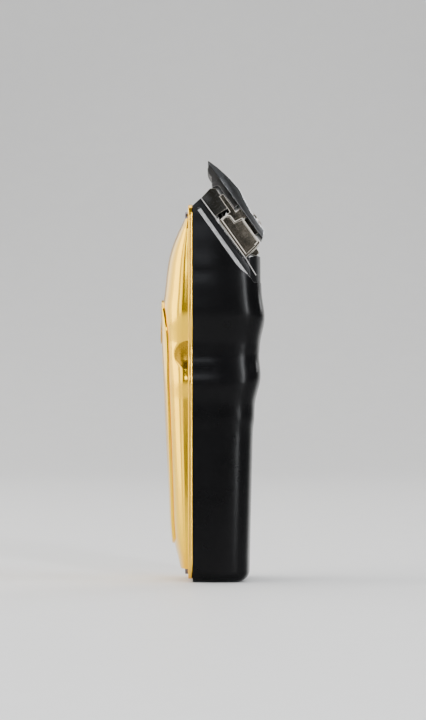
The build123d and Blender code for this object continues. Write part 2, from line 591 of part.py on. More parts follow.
# ---------------------------------------------------------------- battery and board
cell = z_cyl(CELL_R, CELL_X, 0, CELL_Z, CELL_Z + CELL_L)
cell = fillet(cell.edges(), 0.8) + z_cyl(3.0, CELL_X, 0, CELL_Z + CELL_L - 0.1, CELL_Z + CELL_L + 0.7)
tabs = [
    box(CELL_X - 3, CELL_X + 3, -3, 3, CELL_Z + CELL_L + 0.7, CELL_Z + CELL_L + 0.95),
    box(CELL_X - 3, CELL_X + 3, -3, 3, CELL_Z - 0.25, CELL_Z),
]
SEAT_R = CELL_R + 0.05
PLATE_LOW = CELL_Z - 2.5
WRAP_TOP = 78.0
chassis = z_cyl(SEAT_R + 1.6, CELL_X, 0, PLATE_LOW, WRAP_TOP) & box(-3.5, 12, -12, 12, PLATE_LOW, WRAP_TOP)
chassis += box(-9, 6.5, -11.6, 11.6, PLATE_LOW, CELL_Z - 0.4)
for side in (-1, 1):
    y0, y1 = sorted((side * 9.8, side * 12.2))
    chassis += box(-8, 4, y0, y1, FLOOR, PAD_LOW - 1)
    for z in (64.0, 74.0):
        chassis += box(BOARD_BACK, -3.0, side * 9.4 - 1.6, side * 9.4 + 1.6, z - 2.5, z + 2.5)
chassis += shelf
chassis -= z_cyl(SEAT_R, CELL_X, 0, CELL_Z - 0.4, PAD_LOW - 2)

board = box(BOARD_X, BOARD_BACK, -BOARD_HALF, BOARD_HALF, 58.0, 113.0)
board_screws = []
for side in (-1, 1):
    for z in (64.0, 74.0):
        hole = x_cyl(0.9, BOARD_X - 1, BOARD_BACK + 4, side * 9.4, z)
        board -= hole
        chassis -= hole
        board_screws.append(Pos(BOARD_X, side * 9.4, z) * Rot(0, -90, 0) * screw(1.5, 0.9, 0.9, 5.4, 0.4))
components = [
    box(BOARD_X - 1.2, BOARD_X, -3.5, 3.5, 78.0, 85.0),
    box(BOARD_X - 1.0, BOARD_X, -7.5, -3.5, 66.0, 70.0),
    box(BOARD_X - 1.2, BOARD_X, 4.0, 8.6, 84.0, 88.6),
    box(BOARD_BACK, BOARD_BACK + 1.4, -6.0, 6.0, 96.0, 102.0),
    x_cyl(2.6, BOARD_BACK, BOARD_BACK + 3.6, 5.5, 107.5),
]

# ---------------------------------------------------------------- charging socket
socket = z_cyl(SOCKET_R - 0.05, SOCKET_X, 0, 0.0, 11.8)
socket -= z_cyl(BORE_R, SOCKET_X, 0, -1.0, BORE_L)
contact = z_cyl(2.0, SOCKET_X, 0, BORE_L, BORE_L + 0.8)
socket -= contact
sleeve = z_cyl(3.3, SOCKET_X, 0, 2.0, 8.0) - z_cyl(BORE_R + 0.2, SOCKET_X, 0, 1.0, 9.0)
socket -= sleeve


def lead(points, bend, r=0.5):
    """Insulated wire along straight runs joined by arcs."""
    path = FilletPolyline(*points, radius=bend)
    return sweep(Plane(origin=path @ 0, z_dir=path % 0) * Circle(r), path=path)


LEAD_X, LEAD_Y, LEAD_TOP = 9.2, 6.0, 87.4
charge_leads = [
    lead([(SOCKET_X + 2.6, side * 1.2, 11.9), (SOCKET_X + 2.6, side * 1.2, 14.2),
          (LEAD_X, side * LEAD_Y, 14.6), (LEAD_X, side * LEAD_Y, LEAD_TOP),
          (BOARD_BACK + 0.1, side * LEAD_Y, LEAD_TOP)], 0.9)
    for side in (-1, 1)
]
motor_leads = [
    lead([(-CORE_X - 3.7, y, 103.0), (-13.6, y, 103.0), (-13.6, y, 91.0), (BOARD_BACK + 0.1, y, 91.0)],
         1.0)
    for y in (-5.0, 5.0)
]

# ---------------------------------------------------------------- one file per piece
PARTS = {
    "rear_shell": shell,
    "front_lid": lid,
    "lid_rim": rim,
    "lid_panel": panel,
    "lid_screws": Compound(lid_screws),
    "indicator_lens": lens,
    "indicator_led": led,
    "power_button": button,
    "switch_plunger": plunger,
    "power_switch": switch,
    "circuit_board": board,
    "board_components": Compound(components),
    "board_screws": Compound(board_screws),
    "nose_plate": nose_plate,
    "blade_base": blade_base,
    "head_screws": Compound(head_screws),
    "hair_guard": hair_guard,
    "fixed_blade": fixed_blade,
    "blade_screws": Compound(blade_screws),
    "blade_carrier": carrier,
    "tension_springs": Compound(tension_springs),
    "spring_screws": Compound(spring_screws),
    "cutter_blade": cutter,
    "cutter_follower": follower,
    "taper_lever": lever,
    "lever_cam": cam,
    "lever_screw": lever_screw,
    "lever_washer": washer,
    "motor_frame": frame,
    "motor_core": core,
    "motor_bobbin": bobbin,
    "motor_coil": coil,
    "motor_pads": Compound(mount_pads),
    "motor_screws": Compound(motor_screws),
    "guide_rods": Compound(rods),
    "return_springs": Compound(springs),
    "mover_yoke": yoke,
    "mover_magnets": Compound(magnets),
    "mover_bushes": Compound(bushes),
    "drive_arm": arm,
    "drive_tip": ball_tip,
    "battery_cell": cell,
    "battery_tabs": Compound(tabs),
    "inner_chassis": chassis,
    "charge_socket": socket,
    "charge_sleeve": sleeve,
    "charge_contact": contact,
    "charge_leads": Compound(charge_leads),
    "motor_leads": Compound(motor_leads),
}

os.makedirs("parts", exist_ok=True)
for name, shape in PARTS.items():
    export_step(shape, f"parts/{name}.step")
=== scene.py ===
"""Hair clipper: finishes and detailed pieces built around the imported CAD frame."""

import json
import logging
import math
from dataclasses import dataclass, field
from enum import Enum
from typing import Iterable, Sequence

import bmesh
import bpy
from mathutils import Matrix, Vector


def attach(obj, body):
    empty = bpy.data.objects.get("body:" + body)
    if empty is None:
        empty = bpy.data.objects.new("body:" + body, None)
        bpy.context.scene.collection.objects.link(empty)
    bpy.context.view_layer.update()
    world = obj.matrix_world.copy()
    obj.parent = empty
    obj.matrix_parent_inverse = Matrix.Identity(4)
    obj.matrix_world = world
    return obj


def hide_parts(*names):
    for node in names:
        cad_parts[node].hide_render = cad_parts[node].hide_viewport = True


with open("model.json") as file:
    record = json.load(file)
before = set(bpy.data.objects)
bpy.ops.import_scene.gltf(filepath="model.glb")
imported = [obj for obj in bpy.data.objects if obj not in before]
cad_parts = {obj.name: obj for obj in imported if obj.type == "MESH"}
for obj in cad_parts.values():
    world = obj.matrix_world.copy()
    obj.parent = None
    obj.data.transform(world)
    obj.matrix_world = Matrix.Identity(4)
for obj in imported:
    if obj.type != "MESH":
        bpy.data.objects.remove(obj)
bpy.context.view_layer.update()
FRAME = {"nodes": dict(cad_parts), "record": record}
LOG = logging.getLogger("clipper")
MM = 0.001

Point = tuple[float, float, float]
Outline = Sequence[tuple[float, float]]


# ------------------------------------------------------------------ shader tools
class Num:
    """A number socket that can be used in Python expressions."""

    def __init__(self, tree: "Shader", socket: bpy.types.NodeSocket) -> None:
        """Wrap a socket.

        Args:
            tree: the shader the socket belongs to.
            socket: an output socket that carries one number.
        """
        self.tree = tree
        self.socket = socket

    def _math(self, operation: str, *values: "Num | float", clamp: bool = False) -> "Num":
        """Add one Math node.

        Args:
            operation: Blender's name of the operation.
            values: the operands, in order.
            clamp: whether the result is held between 0 and 1.

        Returns:
            The node's result.
        """
        out = self.tree.node(
            "ShaderNodeMath",
            {"operation": operation, "use_clamp": clamp},
            {i: v for i, v in enumerate(values)},
        )
        return Num(self.tree, out.outputs[0])

    def __add__(self, other: "Num | float") -> "Num":
        """Sum."""
        return self._math("ADD", self, other)

    def __radd__(self, other: float) -> "Num":
        """Reflected sum."""
        return self._math("ADD", other, self)

    def __sub__(self, other: "Num | float") -> "Num":
        """Difference."""
        return self._math("SUBTRACT", self, other)

    def __rsub__(self, other: float) -> "Num":
        """Reflected difference."""
        return self._math("SUBTRACT", other, self)

    def __mul__(self, other: "Num | float") -> "Num":
        """Product."""
        return self._math("MULTIPLY", self, other)

    def __rmul__(self, other: float) -> "Num":
        """Reflected product."""
        return self._math("MULTIPLY", other, self)

    def step(self, low: float, high: float) -> "Num":
        """Smooth ramp from 0 at low to 1 at high."""
        out = self.tree.node(
            "ShaderNodeMapRange",
            {"interpolation_type": "SMOOTHSTEP", "clamp": True},
            {"Value": self, "From Min": low, "From Max": high},
        )
        return Num(self.tree, out.outputs[0])

    def held(self) -> "Num":
        """The value held between 0 and 1."""
        return self._math("ADD", self, 0.0, clamp=True)


class Shader:
    """Builds one material's node tree."""

    def __init__(self, name: str) -> None:
        """Start a material with an empty Principled shader.

        Args:
            name: the material's name.
        """
        self.material = bpy.data.materials.new(name)
        self.material.use_nodes = True
        self.tree = self.material.node_tree
        self.tree.nodes.clear()
        self.body = self.node("ShaderNodeBsdfPrincipled", {}, {})
        output = self.node("ShaderNodeOutputMaterial", {}, {})
        self.tree.links.new(self.body.outputs["BSDF"], output.inputs["Surface"])
        self.place = self.node("ShaderNodeTexCoord", {}, {}).outputs["Object"]

    def node(
        self, kind: str, settings: dict[str, object], inputs: dict[str | int, object]
    ) -> bpy.types.Node:
        """Add a node.

        Args:
            kind: the node's type name.
            settings: properties set before any input.
            inputs: socket name or number to a value, a socket or a Num.

        Returns:
            The new node.
        """
        made = self.tree.nodes.new(kind)
        for key, value in settings.items():
            if key == "stops":
                ramp = made.color_ramp
                while len(ramp.elements) > 1:
                    ramp.elements.remove(ramp.elements[-1])
                for i, (at, colour) in enumerate(value):
                    stop = ramp.elements[0] if i == 0 else ramp.elements.new(at)
                    stop.position = at
                    stop.color = colour
            else:
                setattr(made, key, value)
        for key, value in inputs.items():
            if isinstance(value, Num):
                self.tree.links.new(value.socket, made.inputs[key])
            elif isinstance(value, bpy.types.NodeSocket):
                self.tree.links.new(value, made.inputs[key])
            else:
                made.inputs[key].default_value = value
        return made

    def noise(self, scale: float, detail: float = 3.0, rough: float = 0.55,
              stretch: Point = (1.0, 1.0, 1.0)) -> Num:
        """Noise over the object, from 0 to 1.

        Args:
            scale: how many features per metre.
            detail: octaves.
            rough: how strong the fine octaves are.
            stretch: scale along X, Y and Z.

        Returns:
            The noise value.
        """
        where = self.node("ShaderNodeMapping", {"vector_type": "POINT"},
                          {"Vector": self.place, "Scale": stretch})
        made = self.node("ShaderNodeTexNoise", {"noise_dimensions": "3D"},
                         {"Vector": where.outputs[0], "Scale": scale, "Detail": detail,
                          "Roughness": rough})
        return Num(self, made.outputs[0])

    def axis(self, index: int) -> Num:
        """Object coordinate along one axis, in metres."""
        return Num(self, self.node("ShaderNodeSeparateXYZ", {}, {0: self.place}).outputs[index])

    def blend(self, factor: Num, low: Point, high: Point) -> bpy.types.NodeSocket:
        """Mix two colours by a factor.

        Args:
            factor: 0 gives low, 1 gives high.
            low: first colour.
            high: second colour.

        Returns:
            The mixed colour.
        """
        made = self.node("ShaderNodeMix", {"data_type": "RGBA"},
                         {"Factor": factor, 6: (*low, 1.0), 7: (*high, 1.0)})
        return made.outputs[2]

    def relief(self, height: Num, strength: float, depth: float) -> None:
        """Feed a bump to the shader's normal.

        Args:
            height: surface height, from 0 to 1.
            strength: how much of it shows.
            depth: height of 1, in metres.
        """
        bump = self.node("ShaderNodeBump", {}, {"Strength": strength, "Distance": depth,
                                                "Height": height})
        self.set(Normal=bump.outputs[0])

    def set(self, **values: object) -> None:
        """Set or link the Principled shader's inputs, with _ for a space."""
        for key, value in values.items():
            socket = self.body.inputs[key.replace("_", " ")]
            if isinstance(value, Num):
                self.tree.links.new(value.socket, socket)
            elif isinstance(value, bpy.types.NodeSocket):
                self.tree.links.new(value, socket)
            else:
                socket.default_value = value


# ------------------------------------------------------------------ finishes
@dataclass(frozen=True)
class Finish:
    """A surface finish with fine variation in colour, gloss and relief.

    Attributes:
        name: the material's name.
        colour: main base colour.
        tint: second base colour, mixed in by soft noise.
        metallic: 1 for bare or plated metal.
        rough: lowest and highest roughness.
        grain: features per metre of the fine relief.
        stretch: how the fine relief is drawn out along X, Y and Z.
        relief: strength of the fine relief.
        depth: height of the fine relief, in metres.
        coat: weight of a clear coat.
        shine: level of the mirror-like part of the gloss.
        edge: colour of the edge slot, if the finish has one: a painted highlight on bevels, lines and ridges,
            on metal together with worn bright metal, and painted shade inside the lid's scoops.
    """

    name: str
    colour: Point
    tint: Point
    metallic: float = 0.0
    rough: tuple[float, float] = (0.35, 0.5)
    grain: float = 900.0
    stretch: Point = (1.0, 1.0, 1.0)
    relief: float = 0.2
    depth: float = 0.00005
    coat: float = 0.0
    shine: float = 0.5
    edge: Point | None = None

    def worn(self) -> "Finish":
        """The same finish in its edge colour, for the edge slot: painted highlight on edges, on metal
        together with worn bright metal, and painted shade inside the lid's scoops.
        """
        return Finish(self.name + "_edge", self.edge, tuple(c * 0.8 for c in self.edge),
                      1.0 if self.metallic == 1.0 else 0.3,
                      (0.2, 0.34), 2200.0, relief=0.12)

    def material(self) -> bpy.types.Material:
        """Build the finish's material.

        Returns:
            The material.
        """
        shader = Shader(self.name)
        cloud = shader.noise(38.0, 4.0)
        fine = shader.noise(self.grain, 3.0, 0.6, self.stretch)
        colour = shader.blend(cloud.step(0.3, 0.7), self.colour, self.tint)
        low, high = self.rough
        shader.set(Base_Color=colour, Metallic=self.metallic, Coat_Weight=self.coat,
                   Specular_IOR_Level=self.shine,
                   Roughness=(cloud * 0.5 + fine * 0.5) * (high - low) + low)
        shader.relief(fine, self.relief, self.depth)
        return shader.material


@dataclass(frozen=True)
class SmudgedGilt(Finish):
    """Polished gilt with faint hairline scratches and finger haze."""

    def material(self) -> bpy.types.Material:
        """Build the polished gilt.

        Returns:
            The material.
        """
        shader = Shader(self.name)
        haze = shader.noise(26.0, 5.0, 0.6)
        hair = shader.noise(700.0, 2.0, 0.5, (1.0, 1.0, 0.04))
        low, high = self.rough
        smear = haze.step(0.45, 0.75)
        shader.set(
            Base_Color=shader.blend(haze.step(0.25, 0.75), self.colour, self.tint),
            Metallic=1.0,
            Roughness=smear * (high - low) + hair * 0.05 + low,
        )
        shader.relief(hair, self.relief, self.depth)
        return shader.material


@dataclass(frozen=True)
class Hammered(Finish):
    """Die-cast metal with a coarse, pitted grain."""

    def material(self) -> bpy.types.Material:
        """Build the cast finish.

        Returns:
            The material.
        """
        shader = Shader(self.name)
        pits = Num(shader, shader.node("ShaderNodeTexVoronoi", {"feature": "F1"},
                                       {"Vector": shader.place, "Scale": self.grain}).outputs[0])
        cloud = shader.noise(300.0, 4.0, 0.65)
        grit = shader.noise(2600.0, 2.0, 0.6)
        worn = (cloud * 0.6 + pits * 0.4).step(0.3, 0.72)
        low, high = self.rough
        shader.set(Base_Color=shader.blend(worn, self.tint, self.colour), Metallic=self.metallic,
                   Roughness=grit * (high - low) + low)
        shader.relief((pits * 0.7 + grit * 0.3).held(), self.relief, self.depth)
        return shader.material


FINISHES: dict[str, Finish] = {
    "black_shell": Finish("satin_black", (0.002, 0.002, 0.0023), (0.004, 0.004, 0.0044), 0.0,
                          (0.17, 0.25), 900.0, (0.05, 0.05, 2.2), 0.35, 0.00005, shine=0.09),
    # Its edge colour is a darker gilt, painted shade inside the lid's scoops.
    "gilt_lid": SmudgedGilt("polished_gilt", (0.98, 0.60, 0.022), (0.93, 0.52, 0.015), 1.0,
                            (0.11, 0.19), relief=0.02, edge=(0.42, 0.23, 0.012)),
    "gilt_rim": SmudgedGilt("rim_gilt", (0.95, 0.56, 0.05), (0.87, 0.47, 0.035), 1.0,
                            (0.20, 0.30), relief=0.03),
    # A darker copy of the lid's gilt: painted shade over the whole button.
    "gilt_button": SmudgedGilt("button_gilt", (0.60, 0.36, 0.05), (0.50, 0.29, 0.04), 1.0,
                               (0.24, 0.34), relief=0.05),
    # Its light grey edge colour is a painted highlight on the nose plate's bevels and lines and on the
    # shell's ridges.
    "black_nose": Finish("nose_black", (0.003, 0.003, 0.0035), (0.006, 0.006, 0.0065), 0.0,
                         (0.22, 0.34), 1200.0, relief=0.08, shine=0.15, edge=(0.55, 0.54, 0.52)),
    # Its pale edge colour is a painted highlight on the resin's bevels.
    "olive_block": Finish("dark_resin", (0.006, 0.0055, 0.004), (0.011, 0.010, 0.007), 0.0,
                          (0.22, 0.32), 900.0, relief=0.08, shine=0.18, edge=(0.30, 0.28, 0.24)),
    # The pale edge colours of the steel and cast finishes below are partly worn bright metal and partly
    # painted highlight.
    "blade_steel": Finish("ground_steel", (0.020, 0.020, 0.020), (0.060, 0.060, 0.060), 1.0,
                          (0.24, 0.38), 1500.0, (1.0, 0.08, 1.0), 0.3, 0.00004,
                          edge=(0.45, 0.45, 0.46)),
    "cutter_steel": Finish("dark_steel", (0.018, 0.018, 0.017), (0.050, 0.047, 0.044), 1.0,
                           (0.26, 0.40), 1500.0, (1.0, 0.08, 1.0), 0.3, 0.00004,
                           edge=(0.40, 0.39, 0.38)),
    "cast_metal": Hammered("cast_metal", (0.060, 0.052, 0.040), (0.010, 0.009, 0.007), 0.9,
                           (0.26, 0.42), 2300.0, relief=0.7, depth=0.00014,
                           edge=(0.80, 0.74, 0.64)),
    "screw_steel": Finish("screw_steel", (0.50, 0.49, 0.47), (0.38, 0.35, 0.31), 1.0,
                          (0.20, 0.34), 2200.0, relief=0.15),
    "dark_screw": Finish("dark_screw", (0.16, 0.14, 0.16), (0.24, 0.20, 0.19), 1.0,
                         (0.25, 0.38), 2200.0, relief=0.15),
    "spring_steel": Finish("spring_steel", (0.56, 0.56, 0.58), (0.48, 0.48, 0.51), 1.0,
                           (0.16, 0.26), 1800.0, (1.0, 0.1, 1.0), 0.1),
    "chrome_lever": Finish("lever_chrome", (0.72, 0.72, 0.74), (0.62, 0.62, 0.65), 1.0,
                           (0.09, 0.18), 1200.0, (1.0, 1.0, 0.05), 0.06, 0.00002),
    "black_rubber": Finish("soft_rubber", (0.02, 0.02, 0.02), (0.035, 0.034, 0.033), 0.0,
                           (0.6, 0.8), 2500.0, relief=0.35, depth=0.00008),
    "green_board": Finish("board_lacquer", (0.01, 0.10, 0.035), (0.015, 0.14, 0.05), 0.0,
                          (0.25, 0.4), 700.0, relief=0.2, coat=0.4),
    "chip_black": Finish("package_epoxy", (0.03, 0.03, 0.032), (0.05, 0.05, 0.052), 0.0,
                         (0.45, 0.62), 2600.0, relief=0.3),
    "cell_wrap": Finish("cell_wrap", (0.02, 0.13, 0.36), (0.03, 0.17, 0.44), 0.0,
                        (0.2, 0.32), 300.0, (1.0, 1.0, 0.2), 0.15, 0.00008, 0.3),
    "nickel": Finish("nickel_strip", (0.62, 0.60, 0.55), (0.5, 0.48, 0.43), 1.0,
                     (0.22, 0.34), 1500.0, relief=0.12),
    "grey_plastic": Finish("fibre_nylon", (0.13, 0.13, 0.135), (0.17, 0.17, 0.175), 0.0,
                           (0.45, 0.62), 1800.0, relief=0.3),
    "copper_wire": Finish("enamelled_copper", (0.66, 0.24, 0.10), (0.52, 0.17, 0.07), 0.9,
                          (0.2, 0.32), 2500.0, relief=0.1, coat=0.3),
    "laminate": Finish("laminations", (0.26, 0.27, 0.29), (0.18, 0.19, 0.20), 1.0,
                       (0.32, 0.46), 2000.0, relief=0.2),
    "magnet": Finish("plated_magnet", (0.55, 0.56, 0.58), (0.47, 0.48, 0.5), 1.0,
                     (0.12, 0.22), 1600.0, relief=0.08),
    "bronze": Finish("oiled_bronze", (0.45, 0.27, 0.11), (0.36, 0.2, 0.08), 1.0,
                     (0.28, 0.42), 2400.0, relief=0.2),
    "brass_contact": Finish("contact_plating", (0.86, 0.62, 0.24), (0.76, 0.52, 0.19), 1.0,
                            (0.16, 0.28), 2000.0, relief=0.1),
    "wire_red": Finish("wire_sleeve", (0.36, 0.02, 0.015), (0.46, 0.03, 0.02), 0.0,
                       (0.35, 0.5), 1800.0, relief=0.15),
    "lens_clear": Finish("light_guide", (0.85, 0.85, 0.80), (0.8, 0.8, 0.75), 0.0,
                         (0.1, 0.2), 900.0, relief=0.05, coat=0.5),
}


# ------------------------------------------------------------------ mesh tools
TIP = Vector((-4.8 * MM, 0.0, 175.0 * MM))
TILT = math.radians(54.5)
ALONG = Vector((math.cos(TILT), 0.0, -math.sin(TILT)))
OUTWARD = Vector((math.sin(TILT), 0.0, math.cos(TILT)))
# Material slot of the edge colour: painted highlight on bevels, lines and ridges (on metal together with worn
# bright metal), painted shade inside the lid's scoops.
EDGE_SLOT = 1
LINE_DEPTH = 0.1


def on_head(u: float, y: float, w: float) -> Vector:
    """A point given in head axes, in millimetres, as a point of the frame.

    Args:
        u: distance from the tips towards the heel.
        y: distance across the blades.
        w: distance out through the blade.

    Returns:
        The point, in metres.
    """
    return TIP + (ALONG * u + OUTWARD * w) * MM + Vector((0.0, y * MM, 0.0))


def link(name: str, mesh: bpy.types.Mesh, finish: bpy.types.Material | None) -> bpy.types.Object:
    """Put a mesh in the scene under a name, with one material."""
    made = bpy.data.objects.new(name, mesh)
    bpy.context.scene.collection.objects.link(made)
    if finish:
        marks = [face.material_index for face in mesh.polygons]
        mesh.materials.clear()
        mesh.materials.append(finish)
        mesh.polygons.foreach_set("material_index", marks)
    return made


def polish(mesh: bpy.types.Mesh, angle: float = 32.0) -> None:
    """Shade a mesh smoothly, but sharp where it turns more than an angle in degrees."""
    mesh.shade_smooth()
    mesh.set_sharp_from_angle(angle=math.radians(angle))


def mesh_of(name: str, work: bmesh.types.BMesh) -> bpy.types.Mesh:
    """Write an edit mesh to a new mesh and free it."""
    mesh = bpy.data.meshes.new(name)
    work.to_mesh(mesh)
    work.free()
    return mesh


def softened(node: str, name: str, finish: bpy.types.Material | None, width: float,
             segments: int = 2) -> bpy.types.Object:
    """Copy a CAD node with its sharp edges rounded.

    Args:
        node: the CAD node.
        name: the new piece's name.
        finish: its material.
        width: width of the rounding, in millimetres.
        segments: facets across the rounding.

    Returns:
        The new piece, in place.
    """
    work = bmesh.new()
    work.from_mesh(FRAME["nodes"][node].data)
    bmesh.ops.remove_doubles(work, verts=work.verts, dist=1e-6)
    bmesh.ops.dissolve_limit(work, angle_limit=math.radians(1.0), verts=work.verts,
                             edges=work.edges)
    sharp = [e for e in work.edges if e.is_manifold and e.calc_face_angle(0.0) > math.radians(30)]
    # Bevel faces take the edge slot: a painted highlight along each sharp edge, on metal together with worn
    # bright metal.
    bmesh.ops.bevel(work, geom=sharp, offset=width * MM, segments=segments, profile=0.6,
                    affect="EDGES", clamp_overlap=True, material=EDGE_SLOT)
    bmesh.ops.remove_doubles(work, verts=work.verts, dist=1e-7)
    mesh = mesh_of(name, work)
    polish(mesh)
    return link(name, mesh, finish)


def stations_mesh(name: str, rings: Sequence[Sequence[Vector]]) -> bpy.types.Mesh:
    """Closed skin through rings of points, capped at both ends.

    Args:
        name: the mesh's name.
        rings: rings with the same number of points, in order.

    Returns:
        The mesh.
    """
    work = bmesh.new()
    made = [[work.verts.new(p) for p in ring] for ring in rings]
    size = len(rings[0])
    for low, high in zip(made, made[1:]):
        for i in range(size):
            j = (i + 1) % size
            work.faces.new((low[i], low[j], high[j], high[i]))
    work.faces.new(list(reversed(made[0])))
    work.faces.new(made[-1])
    bmesh.ops.recalc_face_normals(work, faces=work.faces)
    mesh = mesh_of(name, work)
    return mesh


def head_bar(name: str, outline: Outline, y0: float, y1: float, width: float,
             finish: bpy.types.Material | None) -> bpy.types.Object:
    """Bar with a constant section in head axes and rounded edges.

    Args:
        name: the piece's name.
        outline: (u, w) corners, in millimetres.
        y0: lower end across the blades.
        y1: upper end.
        width: width of the rounding.
        finish: its material.

    Returns:
        The bar, in place.
    """
    mesh = stations_mesh(name, [[on_head(u, y, w) for u, w in outline] for y in (y0, y1)])
    work = bmesh.new()
    work.from_mesh(mesh)
    if width:
        sharp = [e for e in work.edges if e.calc_face_angle(0.0) > math.radians(8)]
        # Bevel faces take the edge slot: a painted highlight along each sharp edge, on metal together with
        # worn bright metal.
        bmesh.ops.bevel(work, geom=sharp, offset=width * MM, segments=2, profile=0.6,
                        affect="EDGES", clamp_overlap=True, material=EDGE_SLOT)
    bmesh.ops.recalc_face_normals(work, faces=work.faces)
    work.to_mesh(mesh)
    work.free()
    polish(mesh)
    return link(name, mesh, finish)


class Grower:
    """Builds one Geometry Nodes tree and turns its result into a plain mesh."""

    def __init__(self, name: str, inputs: dict[str, tuple[str, object]]) -> None:
        """Start a tree with named inputs.

        Args:
            name: the tree's name.
            inputs: input name to socket type and value.
        """
        self.name = name
        self.tree = bpy.data.node_groups.new(name, "GeometryNodeTree")
        self.values: dict[str, object] = {}
        self.tree.interface.new_socket(name="Geometry", in_out="INPUT",
                                       socket_type="NodeSocketGeometry")
        self.tree.interface.new_socket(name="Geometry", in_out="OUTPUT",
                                       socket_type="NodeSocketGeometry")
        for key, (kind, value) in inputs.items():
            made = self.tree.interface.new_socket(name=key, in_out="INPUT", socket_type=kind)
            self.values[made.identifier] = value
        self.given = self.tree.nodes.new("NodeGroupInput").outputs
        self.out = self.tree.nodes.new("NodeGroupOutput")

    def node(self, kind: str, settings: dict[str, object],
             inputs: dict[str | int, object]) -> bpy.types.Node:
        """Add a node.

        Args:
            kind: the node's type name.
            settings: properties set before any input.
            inputs: socket name or number to a value or a socket.

        Returns:
            The new node.
        """
        made = self.tree.nodes.new(kind)
        for key, value in settings.items():
            setattr(made, key, value)
        for key, value in inputs.items():
            if isinstance(value, bpy.types.NodeSocket):
                self.tree.links.new(value, made.inputs[key])
            else:
                made.inputs[key].default_value = value
        return made

    def close(self, geometry: bpy.types.NodeSocket, finish: bpy.types.Material) -> None:
        """End the tree in Realize Instances and Set Material.

        Args:
            geometry: what the tree has made.
            finish: its material.
        """
        real = self.node("GeometryNodeRealizeInstances", {}, {"Geometry": geometry})
        dressed = self.node("GeometryNodeSetMaterial", {},
                            {"Geometry": real.outputs[0], "Material": finish})
        self.tree.links.new(dressed.outputs[0], self.out.inputs[0])

    def harvest(self, name: str, seed: bpy.types.Mesh | None = None,
                helpers: Iterable[bpy.types.Object] = ()) -> bpy.types.Object:
        """Evaluate the tree and keep its result as a plain mesh.

        Args:
            name: the piece's name.
            seed: mesh the tree starts from, if it needs one.
            helpers: template objects, removed afterwards.

        Returns:
            The piece, at the origin.
        """
        holder = bpy.data.objects.new(name + "_seed", seed or bpy.data.meshes.new(name + "_seed"))
        bpy.context.scene.collection.objects.link(holder)
        modifier = holder.modifiers.new(self.name, "NODES")
        modifier.node_group = self.tree
        for key, value in self.values.items():
            modifier[key] = value
        bpy.context.view_layer.update()
        graph = bpy.context.evaluated_depsgraph_get()
        mesh = bpy.data.meshes.new_from_object(holder.evaluated_get(graph))
        holder.modifiers.remove(modifier)
        bpy.data.objects.remove(holder)
        for helper in helpers:
            bpy.data.objects.remove(helper)
        mesh.name = name
        mesh.polygons.foreach_set("material_index", [0] * len(mesh.polygons))
        polish(mesh)
        return link(name, mesh, None)


@dataclass(frozen=True)
class Spot:
    """Where one copy of a repeated shape goes."""

    place: Vector
    turn: Point = (0.0, 0.0, 0.0)
    size: Point = (1.0, 1.0, 1.0)


def repeated(name: str, template: bpy.types.Object, spots: Sequence[Spot],
             finish: bpy.types.Material) -> bpy.types.Object:
    """Repeat a template by Geometry Nodes at a list of spots.

    Args:
        name: the piece's name.
        template: the object to repeat, modelled around the origin.
        spots: where the copies go.
        finish: material of the result.

    Returns:
        The piece.
    """
    seed = bpy.data.meshes.new(name + "_points")
    seed.from_pydata([tuple(spot.place) for spot in spots], [], [])
    for key, values in (("turn", [spot.turn for spot in spots]), ("size", [spot.size for spot in spots])):
        made = seed.attributes.new(key, "FLOAT_VECTOR", "POINT")
        made.data.foreach_set("vector", [c for value in values for c in value])
    grow = Grower(name + "_copies", {
        "Template": ("NodeSocketObject", template),
        "Evenness": ("NodeSocketFloat", 1.0),
        "Seed": ("NodeSocketInt", 7),
    })
    turn = grow.node("GeometryNodeInputNamedAttribute", {"data_type": "FLOAT_VECTOR"}, {"Name": "turn"})
    size = grow.node("GeometryNodeInputNamedAttribute", {"data_type": "FLOAT_VECTOR"}, {"Name": "size"})
    least = grow.node("ShaderNodeMath", {"operation": "MULTIPLY"}, {0: grow.given["Evenness"], 1: 0.985})
    jitter = grow.node("FunctionNodeRandomValue", {"data_type": "FLOAT"}, {
        "Min": least.outputs[0], "Max": grow.given["Evenness"], "Seed": grow.given["Seed"]})
    scaled = grow.node("ShaderNodeVectorMath", {"operation": "SCALE"}, {
        0: size.outputs[0], "Scale": jitter.outputs[1]})
    angle = grow.node("FunctionNodeEulerToRotation", {}, {0: turn.outputs[0]})
    info = grow.node("GeometryNodeObjectInfo", {}, {"Object": grow.given["Template"]})
    many = grow.node("GeometryNodeInstanceOnPoints", {}, {
        "Points": grow.given["Geometry"], "Instance": info.outputs["Geometry"],
        "Rotation": angle.outputs[0], "Scale": scaled.outputs[0]})
    grow.close(many.outputs[0], finish)
    return grow.harvest(name, seed, (template,))


def joined(name: str, parts: Sequence[bpy.types.Object]) -> bpy.types.Object:
    """Join objects that sit at the origin into one piece."""
    work = bmesh.new()
    for part in parts:
        work.from_mesh(part.data)
    mesh = bpy.data.meshes.new(name)
    materials = list(parts[0].data.materials)
    work.to_mesh(mesh)
    work.free()
    for part in parts:
        bpy.data.objects.remove(part)
    polish(mesh)
    return link(name, mesh, materials[0] if materials else None)


def spread(low: float, high: float, step: float, stops: Iterable[float]) -> list[float]:
    """Heights about one step apart that pass through the given stops.

    Args:
        low: lowest height.
        high: highest height.
        step: wanted spacing.
        stops: heights that must be among them.

    Returns:
        The heights, rising.
    """
    marks = sorted({low, high, *[s for s in stops if low < s < high]})
    found = [low]
    for a, b in zip(marks, marks[1:]):
        count = max(1, round((b - a) / step))
        found += [a + (b - a) * i / count for i in range(1, count + 1)]
    return found


def drum(name: str, radius: float, x0: float, x1: float, y: float, z: float,
         sides: int) -> bpy.types.Object:
    """Round cutter along X, in millimetres."""
    rings = [[Vector((x, y + radius * math.cos(2 * math.pi * i / sides),
                      z + radius * math.sin(2 * math.pi * i / sides))) * MM for i in range(sides)]
             for x in (x0, x1)]
    return link(name, stations_mesh(name, rings), None)


